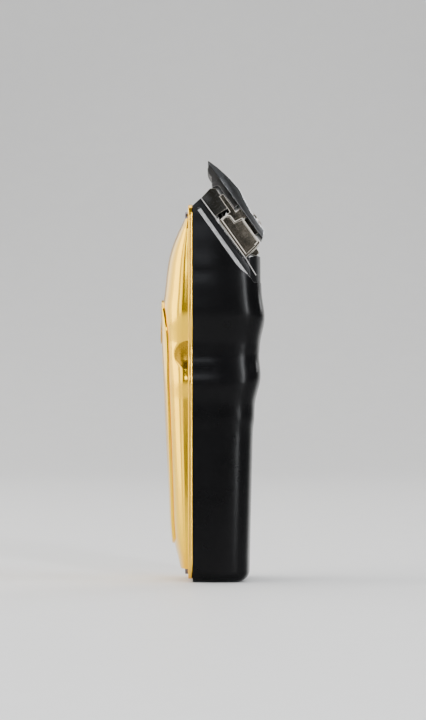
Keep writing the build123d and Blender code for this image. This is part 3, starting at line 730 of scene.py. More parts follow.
def carve(piece: bpy.types.Object, cutters: Sequence[bpy.types.Object]) -> None:
    """Cut closed shapes out of a closed piece and remove them.

    Args:
        piece: what is cut.
        cutters: what is taken away.
    """
    for cutter in cutters:
        modifier = piece.modifiers.new(cutter.name, "BOOLEAN")
        modifier.operation = "DIFFERENCE"
        modifier.solver = "EXACT"
        modifier.object = cutter
    bpy.context.view_layer.update()
    graph = bpy.context.evaluated_depsgraph_get()
    mesh = bpy.data.meshes.new_from_object(piece.evaluated_get(graph))
    piece.modifiers.clear()
    piece.data = mesh
    mesh.name = piece.name
    for cutter in cutters:
        bpy.data.objects.remove(cutter)


def settle(piece: bpy.types.Object, body: str, slot: str, *nodes: str) -> bpy.types.Object:
    """Attach a finished piece to its body and hide the CAD nodes it stands for."""
    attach(piece, body)
    if nodes:
        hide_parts(*nodes)
    LOG.info("%s: %d faces, on %s", piece.name, len(piece.data.polygons), body)
    return piece


# ------------------------------------------------------------------ dressing
class Body(Enum):
    """The bodies that move on their own."""

    HOUSING = "housing"
    MOVER = "motor_mover"
    CUTTER = "cutter"
    CARRIAGE = "blade_carriage"
    LEVER = "taper_lever"
    BUTTON = "power_button"


class Wardrobe:
    """Makes each slot's material once and hands it to pieces and CAD nodes."""

    def __init__(self) -> None:
        """Read which slot each node takes."""
        self.made: dict[str, bpy.types.Material] = {}
        self.slot_of = {p["node"]: p["material_slot"] for p in FRAME["record"]["subparts"]}

    def of(self, slot: str) -> bpy.types.Material:
        """The material of a slot.

        Args:
            slot: a slot of the record, with .edge added for its edge colour: painted highlight on edges,
                partly worn bright metal on metal, painted shade in the lid's scoops.

        Returns:
            The material, made on first use.
        """
        if slot not in self.made:
            base, _, kind = slot.partition(".")
            finish = FINISHES[base].worn() if kind else FINISHES[base]
            self.made[slot] = finish.material()
        return self.made[slot]

    def for_node(self, node: str) -> bpy.types.Material:
        """The material of a CAD node."""
        return self.of(self.slot_of[node])

    def dress(self, *nodes: str) -> None:
        """Give CAD nodes that stay in view their own finish."""
        for node in nodes:
            for place in FRAME["nodes"][node].material_slots:
                place.material = self.for_node(node)
            LOG.info("%s: dressed in %s", node, self.slot_of[node])

    def replace(self, node: str, piece: bpy.types.Object, body: Body) -> bpy.types.Object:
        """Let a finished piece stand for one CAD node.

        Args:
            node: the CAD node.
            piece: the new piece.
            body: what it rides on.

        Returns:
            The piece.
        """
        slot = self.slot_of[node]
        marks = [face.material_index for face in piece.data.polygons]
        piece.data.materials.clear()
        piece.data.materials.append(self.of(slot))
        # Second slot: the edge colour, painted highlight on edges and lines, painted shade in the lid's
        # scoops.
        piece.data.materials.append(self.of(slot + ".edge") if FINISHES[slot].edge else self.of(slot))
        piece.data.polygons.foreach_set("material_index", marks)
        return settle(piece, body.value, self.slot_of[node], node)

    def soften(self, node: str, body: Body, width: float, segments: int = 2) -> bpy.types.Object:
        """Replace a CAD node by a copy with rounded edges.

        Args:
            node: the CAD node.
            body: what it rides on.
            width: width of the rounding, in millimetres.
            segments: facets across the rounding.

        Returns:
            The new piece.
        """
        piece = softened(node, node + "_piece", self.for_node(node), width, segments)
        return self.replace(node, piece, body)


WARDROBE = Wardrobe()


@dataclass(frozen=True)
class Screw:
    """Cross-recess screw.

    Attributes:
        head_r: radius of the head.
        head_t: thickness of the head.
        shank_r: radius of the shank.
        length: length of the shank below the head.
    """

    head_r: float
    head_t: float
    shank_r: float
    length: float

    def template(self) -> bpy.types.Object:
        """One screw with its head's underside at the origin, head towards +Z."""
        sides = 40
        soft = min(0.3, self.head_t * 0.3)
        profile = [(0.25 * self.shank_r, -self.length), (self.shank_r, -self.length + 0.6),
                   (self.shank_r, -0.02), (self.head_r - 0.12, 0.0), (self.head_r, 0.12),
                   (self.head_r, self.head_t - soft), (self.head_r - 0.3 * soft, self.head_t - 0.3 * soft),
                   (self.head_r - soft, self.head_t), (0.4 * self.head_r, self.head_t + 0.04)]
        rings = [[Vector((r * math.cos(2 * math.pi * i / sides), r * math.sin(2 * math.pi * i / sides), z))
                  * MM for i in range(sides)] for r, z in profile]
        made = link("screw", stations_mesh("screw", rings), None)
        cutters = []
        for turn in (0.0, math.pi / 2):
            length, width = 0.62 * self.head_r, 0.13 * self.head_r
            corners = [(-length, -width), (length, -width), (length, width), (-length, width)]
            spun = [(x * math.cos(turn) - y * math.sin(turn), x * math.sin(turn) + y * math.cos(turn))
                    for x, y in corners]
            narrow = [(0.8 * x, 0.8 * y) for x, y in spun]
            levels = [(narrow, 0.35 * self.head_t), (spun, self.head_t + 0.2)]
            rings = [[Vector((x, y, z)) * MM for x, y in ring] for ring, z in levels]
            cutters.append(link(f"slot_{len(cutters)}", stations_mesh("slot", rings), None))
        carve(made, cutters)
        return made


def facing(direction: Vector, twist: float = 0.4) -> Point:
    """Euler angles that turn +Z to a direction.

    Args:
        direction: where the screw's head points.
        twist: how far the recess is turned, in radians.

    Returns:
        The angles.
    """
    turn = direction.to_track_quat("Z", "Y").to_matrix() @ Matrix.Rotation(twist, 3, "Z")
    return tuple(turn.to_euler())


def fit_screws(node: str, body: Body, kinds: Sequence[tuple[Screw, Sequence[Spot]]]) -> None:
    """Replace a node's screws by screws with a cut recess.

    Args:
        node: the CAD node.
        body: what they ride on.
        kinds: each kind of screw with its places.
    """
    slot = WARDROBE.slot_of[node]
    rows = [repeated(f"{node}_{i}", screw.template(), spots, WARDROBE.of(slot))
            for i, (screw, spots) in enumerate(kinds)]
    WARDROBE.replace(node, joined(node + "_set", rows), body)


def painted_highlight_line(name: str, path: Sequence[Vector], width: float) -> bpy.types.Object:
    """Lay a thin painted highlight line along a piece's flank, as a strip in the edge colour.

    Args:
        name: the piece's name.
        path: the line's points, in metres, all on one flank.
        width: its width in millimetres.

    Returns:
        The line, which takes the edge finish of the piece it is joined to.
    """
    depth = Vector((0.0, math.copysign(LINE_DEPTH * MM, path[0].y), 0.0))
    rings = []
    for i, point in enumerate(path):
        before, after = path[max(i - 1, 0)], path[min(i + 1, len(path) - 1)]
        side = (after - before).cross(Vector((0.0, 1.0, 0.0))).normalized() * (0.5 * width * MM)
        rings.append([point - side - depth, point + side - depth, point + side + depth, point - side + depth])
    mesh = stations_mesh(name, rings)
    # The whole strip takes the edge slot: a painted highlight where light catches the edge.
    mesh.polygons.foreach_set("material_index", [EDGE_SLOT] * len(mesh.polygons))
    return link(name, mesh, None)


# ------------------------------------------------------------------ sub-assemblies
@dataclass
class Grip:
    """The black rear shell with the fine ridges along its slanted edges.

    Attributes:
        plane: the slanted top, as a distance out through the head.
        bevel: width of the bevel on each flank.
        pitch: spacing of the ridges on the bevel.
        start: where the ridges start, from the tips.
        end: where they end.
        turn_x: where the flank starts to round into the back.
        corner: radius of that corner.
        fall: how far the bevel drops for each millimetre of its width.
        lean: how much the bevel faces out through the head, and sideways.
        margin: what a ridge stays short of the bevel's width.
        least: length of the shortest ridge.
    """

    plane: float = -14.0
    bevel: float = 1.5
    pitch: float = 0.42
    start: float = 14.2
    end: float = 51.0
    turn_x: float = 8.1
    corner: float = 9.0
    fall: float = 1.217
    lean: tuple[float, float] = (0.635, 0.773)
    margin: float = 0.16
    least: float = 0.15

    def ridge(self) -> bpy.types.Object:
        """One small ridge, one millimetre long along Y, rounded on top."""
        profile = [(-0.11, -0.05), (-0.08, 0.05), (0.0, 0.085), (0.08, 0.05), (0.11, -0.05)]
        rings = [[Vector((x, y, z)) * MM for x, z in profile] for y in (0.0, 0.06, 0.94, 1.0)]
        for ring in (rings[0], rings[-1]):
            for point in ring:
                point.z = min(point.z, 0.0)
        return link("ridge", stations_mesh("ridge", rings), None)

    def hatch(self) -> None:
        """Grow the ridges along both bevels, in the nose plate's edge colour as a painted highlight."""
        spots = []
        count = int((self.end - self.start) / self.pitch)
        for side in (-1, 1):
            for i in range(count):
                u = self.start + i * self.pitch
                high = on_head(u, 0.0, self.plane)
                x, z = high.x / MM, high.z / MM
                half = HALF_WIDTH.at(z)
                past = max(0.0, x + 0.9 - self.turn_x)
                room = self.corner - math.sqrt(max(0.0, self.corner ** 2 - past ** 2))
                reach = self.bevel - self.margin - room - 0.15 * past / self.corner
                if reach < self.least:
                    continue
                low = Vector((0.0, side * (half - self.bevel + reach), 0.0)) * MM
                inner = on_head(u, side * (half - self.bevel + 0.06), self.plane)
                outer = on_head(u, 0.0, self.plane + 0.1 - self.fall * reach) + low
                across = outer - inner
                out = (OUTWARD * self.lean[0] + Vector((0.0, side * self.lean[1], 0.0))).normalized()
                frame = Matrix((across.normalized().cross(out), across.normalized(), out)).transposed()
                spots.append(Spot(inner, tuple(frame.to_euler()), (1.0, across.length / MM, 1.0)))
        # The ridges take the light grey edge colour of the nose plate: a painted highlight on the lit bevel
        # strip.
        piece = repeated("edge_hatch", self.ridge(), spots, WARDROBE.of("black_nose.edge"))
        settle(piece, Body.HOUSING.value, "black_shell")

    def build(self) -> None:
        """Dress the shell and add the ridges."""
        WARDROBE.dress("rear_shell")
        self.hatch()


class Curve:
    """Smooth curve of one value over height, through a table of points."""

    def __init__(self, table: Sequence[tuple[float, float]]) -> None:
        """Work out the slopes.

        Args:
            table: (height, value) pairs in rising order.
        """
        self.table = list(table)
        slopes = [(b[1] - a[1]) / (b[0] - a[0]) for a, b in zip(self.table, self.table[1:])]
        self.slopes = [slopes[0]]
        for low, high in zip(slopes, slopes[1:]):
            self.slopes.append(0.0 if low * high <= 0 else 2 * low * high / (low + high))
        self.slopes.append(slopes[-1])

    def at(self, z: float) -> float:
        """Value at one height."""
        table = self.table
        if z <= table[0][0]:
            return table[0][1]
        for i in range(len(table) - 1):
            (z0, v0), (z1, v1) = table[i], table[i + 1]
            if z <= z1:
                span = z1 - z0
                t = (z - z0) / span
                m0, m1 = self.slopes[i] * span, self.slopes[i + 1] * span
                return ((2 * t ** 3 - 3 * t ** 2 + 1) * v0 + (t ** 3 - 2 * t ** 2 + t) * m0
                        + (3 * t ** 2 - 2 * t ** 3) * v1 + (t ** 3 - t ** 2) * m1)
        return table[-1][1]


HALF_WIDTH = Curve([(0, 21.6), (12, 22.0), (33, 21.9), (60, 21.6), (76, 21.8), (84, 22.3), (88.5, 21.6),
                    (93, 20.9), (99, 20.9), (103.5, 21.6), (108.5, 22.8), (113, 23.2), (118.5, 23.3),
                    (126, 23.3), (135, 23.2), (161, 23.2)])


@dataclass
class GiltFront:
    """Gilt lid with its rim, raised panel, screws, button and light.

    Attributes:
        rim_x: plane where the lid meets the rim.
        seam_x: plane where the rim meets the shell.
        low: lowest point of the lid.
        high: highest point of the lid.
        brow_z: height where the sloping facet at the top starts.
        heel_z: height where the sloping facet at the bottom starts.
        wall: thickness of the lid.
        scoop: height, radius and depth of the side scoops.
        scoop_lip: width of the plain gilt lip round a scoop, left out of its painted shade.
        button_z: height of the button.
        lens_z: height of the light.
    """

    rim_x: float = -13.3
    seam_x: float = -11.4
    low: float = 5.5
    high: float = 151.3
    brow_z: float = 147.0
    heel_z: float = 11.8
    wall: float = 1.1
    scoop: tuple[float, float, float] = (94.9, 6.0, 0.9)
    scoop_lip: float = 0.4
    button_z: float = 104.3
    lens_z: float = 92.0
    front: Curve = field(default_factory=lambda: Curve([
        (5.5, -17.1), (12.5, -18.5), (17, -19.5), (25, -20.3), (38, -20.9), (63, -22.1), (84, -23.0),
        (101, -23.8), (113, -24.1), (121, -23.3), (132.5, -22.0), (138, -20.8), (142.5, -19.3),
        (146.5, -17.6), (151.3, -15.4)]))

    def half(self, z: float) -> float:
        """Half width of the lid at one height."""
        return HALF_WIDTH.at(z) - 1.2

    def skin_x(self, y: float, z: float) -> float:
        """X of the lid's surface at one place of its front view."""
        depth = self.rim_x - self.front.at(z)
        inside = max(0.0, 1.0 - (abs(y) / self.half(z)) ** 2.33)
        return self.rim_x - depth * inside ** (1 / 2.2)

    def skin_point(self, turn: float, z: float) -> Vector:
        """Point of the lid's skin.

        Args:
            turn: from -1 at one rim to 1 at the other.
            z: height in millimetres.

        Returns:
            The point, in millimetres.
        """
        angle = turn * math.pi / 2
        y = self.half(z) * math.copysign(abs(math.sin(angle)) ** (2 / 2.33), angle)
        for (screw_z, radius), start, edge in zip(self.screw_rows(), (self.brow_z, self.heel_z),
                                                  (self.high, self.low)):
            way, share = radius + 0.5, (z - start) / (edge - start)
            if share > 0 and abs(y) < way:
                bite = math.sqrt(way ** 2 - y ** 2) - abs(screw_z - edge)
                z += math.copysign(max(0.0, bite) * share, start - edge)
        depth = self.rim_x - self.front.at(z)
        x = self.rim_x - depth * max(0.0, math.cos(angle)) ** (2 / 2.2)
        for z0, edge, sense in ((self.brow_z, self.high, 1.0), (self.heel_z, self.low, -1.0)):
            beyond = (z - z0) * sense
            if beyond > 0:
                share = beyond / abs(edge - z0)
                plane = self.front.at(z) + 0.35 + 0.3 * share
                x = max(x, plane)
                y *= 1.0 - 0.17 * share
        middle, radius, depth_in = self.scoop
        away = math.hypot((x - self.rim_x) * 0.98, z - middle) / radius
        if away < 1.0:
            sink = depth_in * (1.0 - away ** 2) ** 0.75
            y -= math.copysign(sink * 0.92, y)
            x += 0.4 * sink * min(1.0, (self.rim_x - x) / 1.5)
        return Vector((x, y, z))

    def lid(self) -> None:
        """Build the domed lid with its scoops and sloping ends, and painted shade inside the scoops."""
        middle, reach, _ = self.scoop
        levels = (spread(self.low, middle - reach - 1, 0.9, (self.heel_z,))
                  + spread(middle - reach - 1, middle + reach + 1, 0.28, ())[1:]
                  + spread(middle + reach + 1, self.high, 0.8, (self.brow_z,))[1:])
        turns = [-1 + 2 * i / 136 for i in range(137)]
        work = bmesh.new()
        grid = [[work.verts.new(self.skin_point(t, z) * MM) for t in turns] for z in levels]
        for low, high in zip(grid, grid[1:]):
            for i in range(len(turns) - 1):
                work.faces.new((low[i], low[i + 1], high[i + 1], high[i]))
        for row in (grid[0], grid[-1]):
            foot = [work.verts.new((self.rim_x * MM, v.co.y, v.co.z)) for v in row[1:-1]]
            foot = [row[0]] + foot + [row[-1]]
            for i in range(len(row) - 1):
                ring = [row[i], row[i + 1], foot[i + 1], foot[i]]
                ring = [v for k, v in enumerate(ring) if v not in ring[:k]]
                if len(ring) > 2:
                    work.faces.new(ring)
        bmesh.ops.remove_doubles(work, verts=work.verts, dist=2e-5)
        bmesh.ops.dissolve_degenerate(work, edges=work.edges, dist=1e-6)
        bmesh.ops.recalc_face_normals(work, faces=work.faces)
        bmesh.ops.solidify(work, geom=work.faces[:], thickness=self.wall * MM)
        bmesh.ops.recalc_face_normals(work, faces=work.faces)
        mesh = mesh_of("lid_skin", work)
        # Faces inside each scoop, short of its lip, take the edge slot: a darker gilt painted as shade in the
        # hollow.
        for face in mesh.polygons:
            x, y, z = face.center / MM
            if abs(y) > reach and math.hypot(x - self.rim_x, z - middle) < reach - self.scoop_lip:
                face.material_index = EDGE_SLOT
        piece = link("lid_skin", mesh, None)
        polish(piece.data, 28)
        WARDROBE.replace("front_lid", piece, Body.HOUSING)

    def screw_rows(self) -> tuple[tuple[float, float], ...]:
        """Height and head radius of the two lid screws."""
        return ((152.4, 2.5), (4.4, 2.3))

    def panel_edge(self, steps: int = 40) -> list[tuple[float, float]]:
        """Outline of the raised panel, as (y, z) points going round."""
        top_r, low_half, low_z, drop = 13.5, 11.0, 17.7, 2.5
        arc = [(top_r * math.cos(math.pi * i / steps), self.button_z + top_r * math.sin(math.pi * i / steps))
               for i in range(steps + 1)]
        left = [(-top_r + (top_r - low_half) * i / 60, self.button_z - (self.button_z - low_z) * i / 60)
                for i in range(1, 61)]
        big = (low_half ** 2 + drop ** 2) / (2 * drop)
        reach = math.asin(low_half / big)
        bow = [(big * math.sin(-reach + 2 * reach * i / 24),
                low_z - drop + big - big * math.cos(-reach + 2 * reach * i / 24)) for i in range(1, 24)]
        right = [(-y, z) for y, z in reversed(left)]
        return arc + left + bow + right

    def panel(self) -> None:
        """Build the raised panel as rings drawn in from its outline."""
        raise_by, edge_r, foot = 0.9, 0.35, 0.15
        outline = self.panel_edge()
        spine = [min(max(z, 27.0), self.button_z) for _, z in outline]
        rings: list[list[Vector]] = []
        for inset, lift in ([(0.0, -foot), (0.0, raise_by - edge_r)]
                            + [(edge_r * (1 - math.cos(a)), raise_by - edge_r * (1 - math.sin(a)))
                               for a in (math.radians(15 * i) for i in range(1, 7))]
                            + [(inset, raise_by) for inset in (0.8, 1.6, 3.0, 4.6, 6.4, 8.2, 9.8)]):
            ring = []
            for (y, z), middle in zip(outline, spine):
                away = Vector((y, z - middle))
                scale = max(0.0, 1 - inset / away.length)
                ring.append(Vector((0.0, away.x * scale, middle + away.y * scale)))
                ring[-1].x = self.skin_x(ring[-1].y, ring[-1].z) - lift
            rings.append(ring)
        centre = [Vector((self.skin_x(0.0, m) - raise_by, 0.0, m)) for m in spine]
        rings.append(centre)
        work = bmesh.new()
        made = [[work.verts.new(p * MM) for p in ring] for ring in rings]
        size = len(outline)
        for low, high in zip(made, made[1:]):
            for i in range(size):
                j = (i + 1) % size
                work.faces.new((low[i], low[j], high[j], high[i]))
        under = [work.verts.new((v.co.x + 0.35 * MM, v.co.y * 0.98, v.co.z)) for v in made[0]]
        for i in range(size):
            j = (i + 1) % size
            work.faces.new((made[0][j], made[0][i], under[i], under[j]))
        work.faces.new(under)
        bmesh.ops.remove_doubles(work, verts=work.verts, dist=2e-6)
        bmesh.ops.recalc_face_normals(work, faces=work.faces)
        mesh = mesh_of("panel_skin", work)
        piece = link("panel_skin", mesh, None)
        carve(piece, [drum("button_way", 5.2, -30, -19, 0, self.button_z, 72),
                      drum("light_way", 1.2, -30, -19, 0, self.lens_z, 32)])
        polish(piece.data, 30)
        WARDROBE.replace("lid_panel", piece, Body.HOUSING)

    def rim(self) -> None:
        """Build the rim as a rounded bead that follows the lid's outline."""
        low_z, high_z, corner, inner = 1.3, 157.1, 5.0, 5.2
        path: list[tuple[float, float]] = []
        for i in range(9):
            a = math.radians(90 * i / 8)
            half = HALF_WIDTH.at(high_z) - 0.5
            path.append((half - corner + corner * math.cos(a), high_z - corner + corner * math.sin(a)))
        mirrored = [(-y, z) for y, z in reversed(path)]
        sides = [z for z in spread(low_z + corner, high_z - corner, 2.0, ())][1:-1]
        left = [(-(HALF_WIDTH.at(z) - 0.5), z) for z in reversed(sides)]
        bottom = []
        for i in range(9):
            a = math.radians(180 + 90 * i / 8)
            half = HALF_WIDTH.at(low_z) - 0.5
            bottom.append((-half + corner + corner * math.cos(a), low_z + corner + corner * math.sin(a)))
        low_right = [(-y, z) for y, z in reversed(bottom)]
        right = [(-y, z) for y, z in reversed(left)]
        path = path + mirrored + left + bottom + low_right + right
        thick = self.seam_x - self.rim_x
        profile = [(0.0, 0.35), (0.0, inner), (thick, inner), (thick, 0.3)]
        for i in range(1, 9):
            a = math.radians(20 * i)
            profile.append((thick / 2 + (thick / 2) * math.cos(a), 0.42 - 0.42 * math.sin(a) ** 0.8))
        size = len(path)
        rings = []
        for i, (y, z) in enumerate(path):
            before, after = path[i - 1], path[(i + 1) % size]
            along = Vector((after[0] - before[0], after[1] - before[1])).normalized()
            inward = Vector((-along.y, along.x))
            rings.append([Vector((self.rim_x + x, y + inward.x * d, z + inward.y * d)) * MM
                          for x, d in profile])
        work = bmesh.new()
        made = [[work.verts.new(p) for p in ring] for ring in rings]
        count = len(profile)
        for i in range(size):
            a, b = made[i], made[(i + 1) % size]
            for k in range(count):
                m = (k + 1) % count
                work.faces.new((a[k], a[m], b[m], b[k]))
        bmesh.ops.recalc_face_normals(work, faces=work.faces)
        mesh = mesh_of("rim_bead", work)
        polish(mesh, 40)
        piece = link("rim_bead", mesh, None)
        WARDROBE.replace("lid_rim", piece, Body.HOUSING)

    def build(self) -> None:
        """Build and dress the front."""
        self.lid()
        self.panel()
        self.rim()
        out = facing(Vector((-1.0, 0.0, 0.0)))
        fit_screws("lid_screws", Body.HOUSING, [
            (Screw(r, 1.46, 1.3, 6.4), [Spot(Vector((self.rim_x, 0.0, z)) * MM, out)])
            for z, r in self.screw_rows()])
        WARDROBE.soften("power_button", Body.BUTTON, 0.35, 4)
        WARDROBE.dress("indicator_lens", "switch_plunger", "indicator_led")


@dataclass
class BladeRow:
    """A blade's row of teeth.

    Attributes:
        gaps: number of gaps between teeth.
        pitch: from one tooth to the next, in millimetres.
        gap: width of a gap at the tips.
        root: where the gaps end.
        half: half width of the blade.
        tip: where the teeth start.
        outer: outline of the side away from the other blade, as (u, w).
        inner: the w of the side that meets the other blade.
    """

    gaps: int
    pitch: float
    gap: float
    root: float
    half: float
    tip: float
    outer: Sequence[tuple[float, float]]
    inner: float

    def outer_at(self, u: float) -> float:
        """The w of the outer side at one distance from the tips."""
        for (u0, w0), (u1, w1) in zip(self.outer, self.outer[1:]):
            if u <= u1:
                return w0 + (w1 - w0) * (u - u0) / (u1 - u0)
        return self.outer[-1][1]

    def tooth(self) -> bpy.types.Object:
        """One tooth in head axes, around the origin in Y."""
        rings = []
        marks = [self.tip, self.tip + 0.12, self.tip + 0.5, *[u for u, _ in self.outer if
                 self.tip + 0.6 < u < self.root - 2.1], self.root - 2.0, self.root, self.root + 0.15]
        for u in marks:
            share = min(1.0, max(0.0, (u - self.tip) / (self.root - 2.0 - self.tip)))
            gap = self.gap * (1 - 0.28 * share) if u <= self.root - 2.0 + 1e-6 else 0.0
            half = (self.pitch - gap) / 2
            if u < self.tip + 0.4:
                half *= 0.45 if u == self.tip else 0.8
            top = self.outer_at(u)
            lean = math.copysign(min(0.16, abs(top - self.inner) * 0.4), top - self.inner)
            section = [(-half, self.inner), (-half, top - lean), (-half * 0.72, top),
                       (half * 0.72, top), (half, top - lean), (half, self.inner)]
            rings.append([(ALONG * u + OUTWARD * w + Vector((0.0, y, 0.0))) * MM for y, w in section])
        mesh = stations_mesh("tooth", rings)
        return link("tooth", mesh, None)

    def grow(self, name: str, body_outline: Outline, finish: str) -> bpy.types.Object:
        """Grow the teeth and join them to the blade's body.

        Args:
            name: the piece's name.
            body_outline: (u, w) outline of the body behind the teeth.
            finish: its slot.

        Returns:
            The whole blade.
        """
        first = -(self.gaps - 2) / 2 * self.pitch
        spots = [Spot(TIP + Vector((0.0, (first + i * self.pitch) * MM, 0.0)))
                 for i in range(self.gaps - 1)]
        edge_gap = (self.gaps - 1) / 2 * self.pitch
        for side in (-1, 1):
            middle = side * (edge_gap + self.half) / 2
            spots.append(Spot(TIP + Vector((0.0, middle * MM, 0.0)),
                              size=(1.0, (self.half - edge_gap) / self.pitch, 1.0)))
        teeth = repeated(name + "_teeth", self.tooth(), spots, WARDROBE.of(finish))
        body = head_bar(name + "_body", body_outline, -self.half, self.half, 0.12, WARDROBE.of(finish))
        return joined(name, (body, teeth))


@dataclass
class CuttingHead:
    """Nose plate, resin base, carrier, springs and the two blades.

    Attributes:
        screw_u: where the blade screws sit, from the tips.
        screw_y: how far they are from the middle.
        end_y: the carrier's end towards the left flank.
        line_y: how far the carrier's painted highlight lines are from the middle.
        nose_y: how far the nose plate's painted highlight lines are from the middle.
        web_y: where the carrier's webs start and end, from the middle.
    """

    screw_u: float = 31.0
    screw_y: float = 11.0
    end_y: float = -21.8
    line_y: float = 22.2
    nose_y: float = 21.75
    web_y: tuple[float, float] = (17.5, 20.5)

    def blades(self) -> None:
        """Build both blades."""
        fixed = BladeRow(37, 1.16, 0.72, 8.6, 22.5, 0.0, ((0.0, 0.0), (4.35, 1.4), (10.6, 2.8)), -0.4)
        piece = fixed.grow("fixed_comb_blade", (
            (8.6, -0.4), (8.6, 2.35), (10.6, 2.8), (15.4, 3.4), (18.4, 3.5), (20.6, 2.9), (28.0, 1.95),
            (36.9, 1.95), (39.2, -0.2), (39.0, -0.4)), "blade_steel")
        WARDROBE.replace("fixed_blade", piece, Body.CARRIAGE)
        moving = BladeRow(25, 1.54, 0.9, 8.2, 20.0, 1.5, (
            (1.5, -1.1), (1.75, -1.45), (2.35, -2.24), (3.9, -2.8), (6.3, -2.9), (9.0, -4.8)), -0.45)
        piece = moving.grow("moving_cutter", (
            (8.2, -0.45), (8.2, -4.24), (9.0, -4.8), (9.7, -4.8), (10.3, -3.2), (10.9, -2.6),
            (22.0, -2.6), (22.0, -0.45)), "cutter_steel")
        WARDROBE.replace("cutter_blade", piece, Body.CUTTER)

    def screws(self) -> None:
        """Fit the head's screws."""
        out = facing(OUTWARD)
        fit_screws("head_screws", Body.HOUSING, [
            (Screw(2.2, 1.4, 1.3, 12.5), [Spot(on_head(16.8, side * 15.5, -5.7), out) for side in (-1, 1)]),
            (Screw(2.2, 1.4, 1.3, 4.9), [Spot(on_head(46.0, side * 12.5, -13.3), out) for side in (-1, 1)])])
        fit_screws("blade_screws", Body.CARRIAGE, [
            (Screw(3.0, 1.26, 1.3, 8.6), [Spot(on_head(self.screw_u, side * self.screw_y, 1.95), out)
                                         for side in (-1, 1)])])
        fit_screws("spring_screws", Body.CARRIAGE, [
            (Screw(1.6, 0.86, 0.85, 4.0), [Spot(on_head(25.0, side * self.screw_y, -5.15), out)
                                           for side in (-1, 1)])])

    def carrier(self) -> None:
        """Build the cast carrier with its webs, stepped face and painted highlight lines."""
        step = ((23.4, -9.9), (23.2, -7.9), (23.5, -7.0), (24.2, -6.4), (27.2, -6.4), (28.0, -3.0),
                (39.3, -3.0), (39.9, -4.7), (40.6, -9.9))
        web = ((14.5, -4.9), (14.5, -3.0), (23.7, -3.0), (23.7, -0.7), (28.0, -0.7), (28.4, -9.3),
               (22.8, -9.3), (22.3, -5.0))
        outline = ((23.0, -9.75), (22.75, -7.8), (23.0, -6.85), (23.8, -5.9), (26.85, -5.85),
                   (27.3, -2.6), (39.0, -2.6), (39.4, -4.6))
        foot = ((23.0, -9.75), (40.2, -9.75))
        parts = [softened("blade_carrier", "carrier_casting", None, 0.22),
                 head_bar("carrier_step", step, self.end_y - 0.3, self.end_y + 0.2, 0.1, None)]
        for side in (-1, 1):
            ends = sorted(side * y for y in self.web_y)
            parts.append(head_bar(f"carrier_web_{side}", web, *ends, 0.15, None))
        # Lines along the carrier's outline and foot in the edge colour: painted highlights.
        for name, points, width in (("line", outline, 0.4), ("foot", foot, 0.35)):
            parts += [painted_highlight_line(f"carrier_{name}_{side}",
                                [on_head(u, side * self.line_y, w) for u, w in points], width)
                      for side in (-1, 1)]
        WARDROBE.replace("blade_carrier", joined("carrier_casting_set", parts), Body.CARRIAGE)

    def nose(self) -> None:
        """Build the nose plate with a painted highlight line along its upper edge."""
        plate = softened("nose_plate", "nose_cover", None, 0.25)
        # Path of the painted highlight line along the plate's upper edge.
        edge = ((-7.9, 159.6), (-2.7, 152.6), (10.6, 134.7), (14.9, 127.6))
        lines = [painted_highlight_line(f"nose_line_{side}",
                           [Vector((x, side * self.nose_y, z)) * MM for x, z in edge], 0.35)
                 for side in (-1, 1)]
        WARDROBE.replace("nose_plate", joined("nose_cover_set", (plate, *lines)), Body.HOUSING)

    def build(self) -> None:
        """Build and dress the head."""
        self.nose()
        WARDROBE.soften("blade_base", Body.HOUSING, 0.25)
        self.carrier()
        self.blades()
        self.screws()
        WARDROBE.dress("hair_guard", "tension_springs", "cutter_follower")


@dataclass
class TaperLever:
    """Side lever with its cam, washer and screw."""

    def build(self) -> None:
        """Build and dress the lever."""
        WARDROBE.soften("taper_lever", Body.LEVER, 0.3, 3)
        seat = Vector((8.4093, 26.1, 145.1157)) * MM
        fit_screws("lever_screw", Body.LEVER, [
            (Screw(3.0, 0.96, 1.3, 6.0), [Spot(seat, facing(Vector((0.0, 1.0, 0.0))))])])
        WARDROBE.dress("lever_cam", "lever_washer")


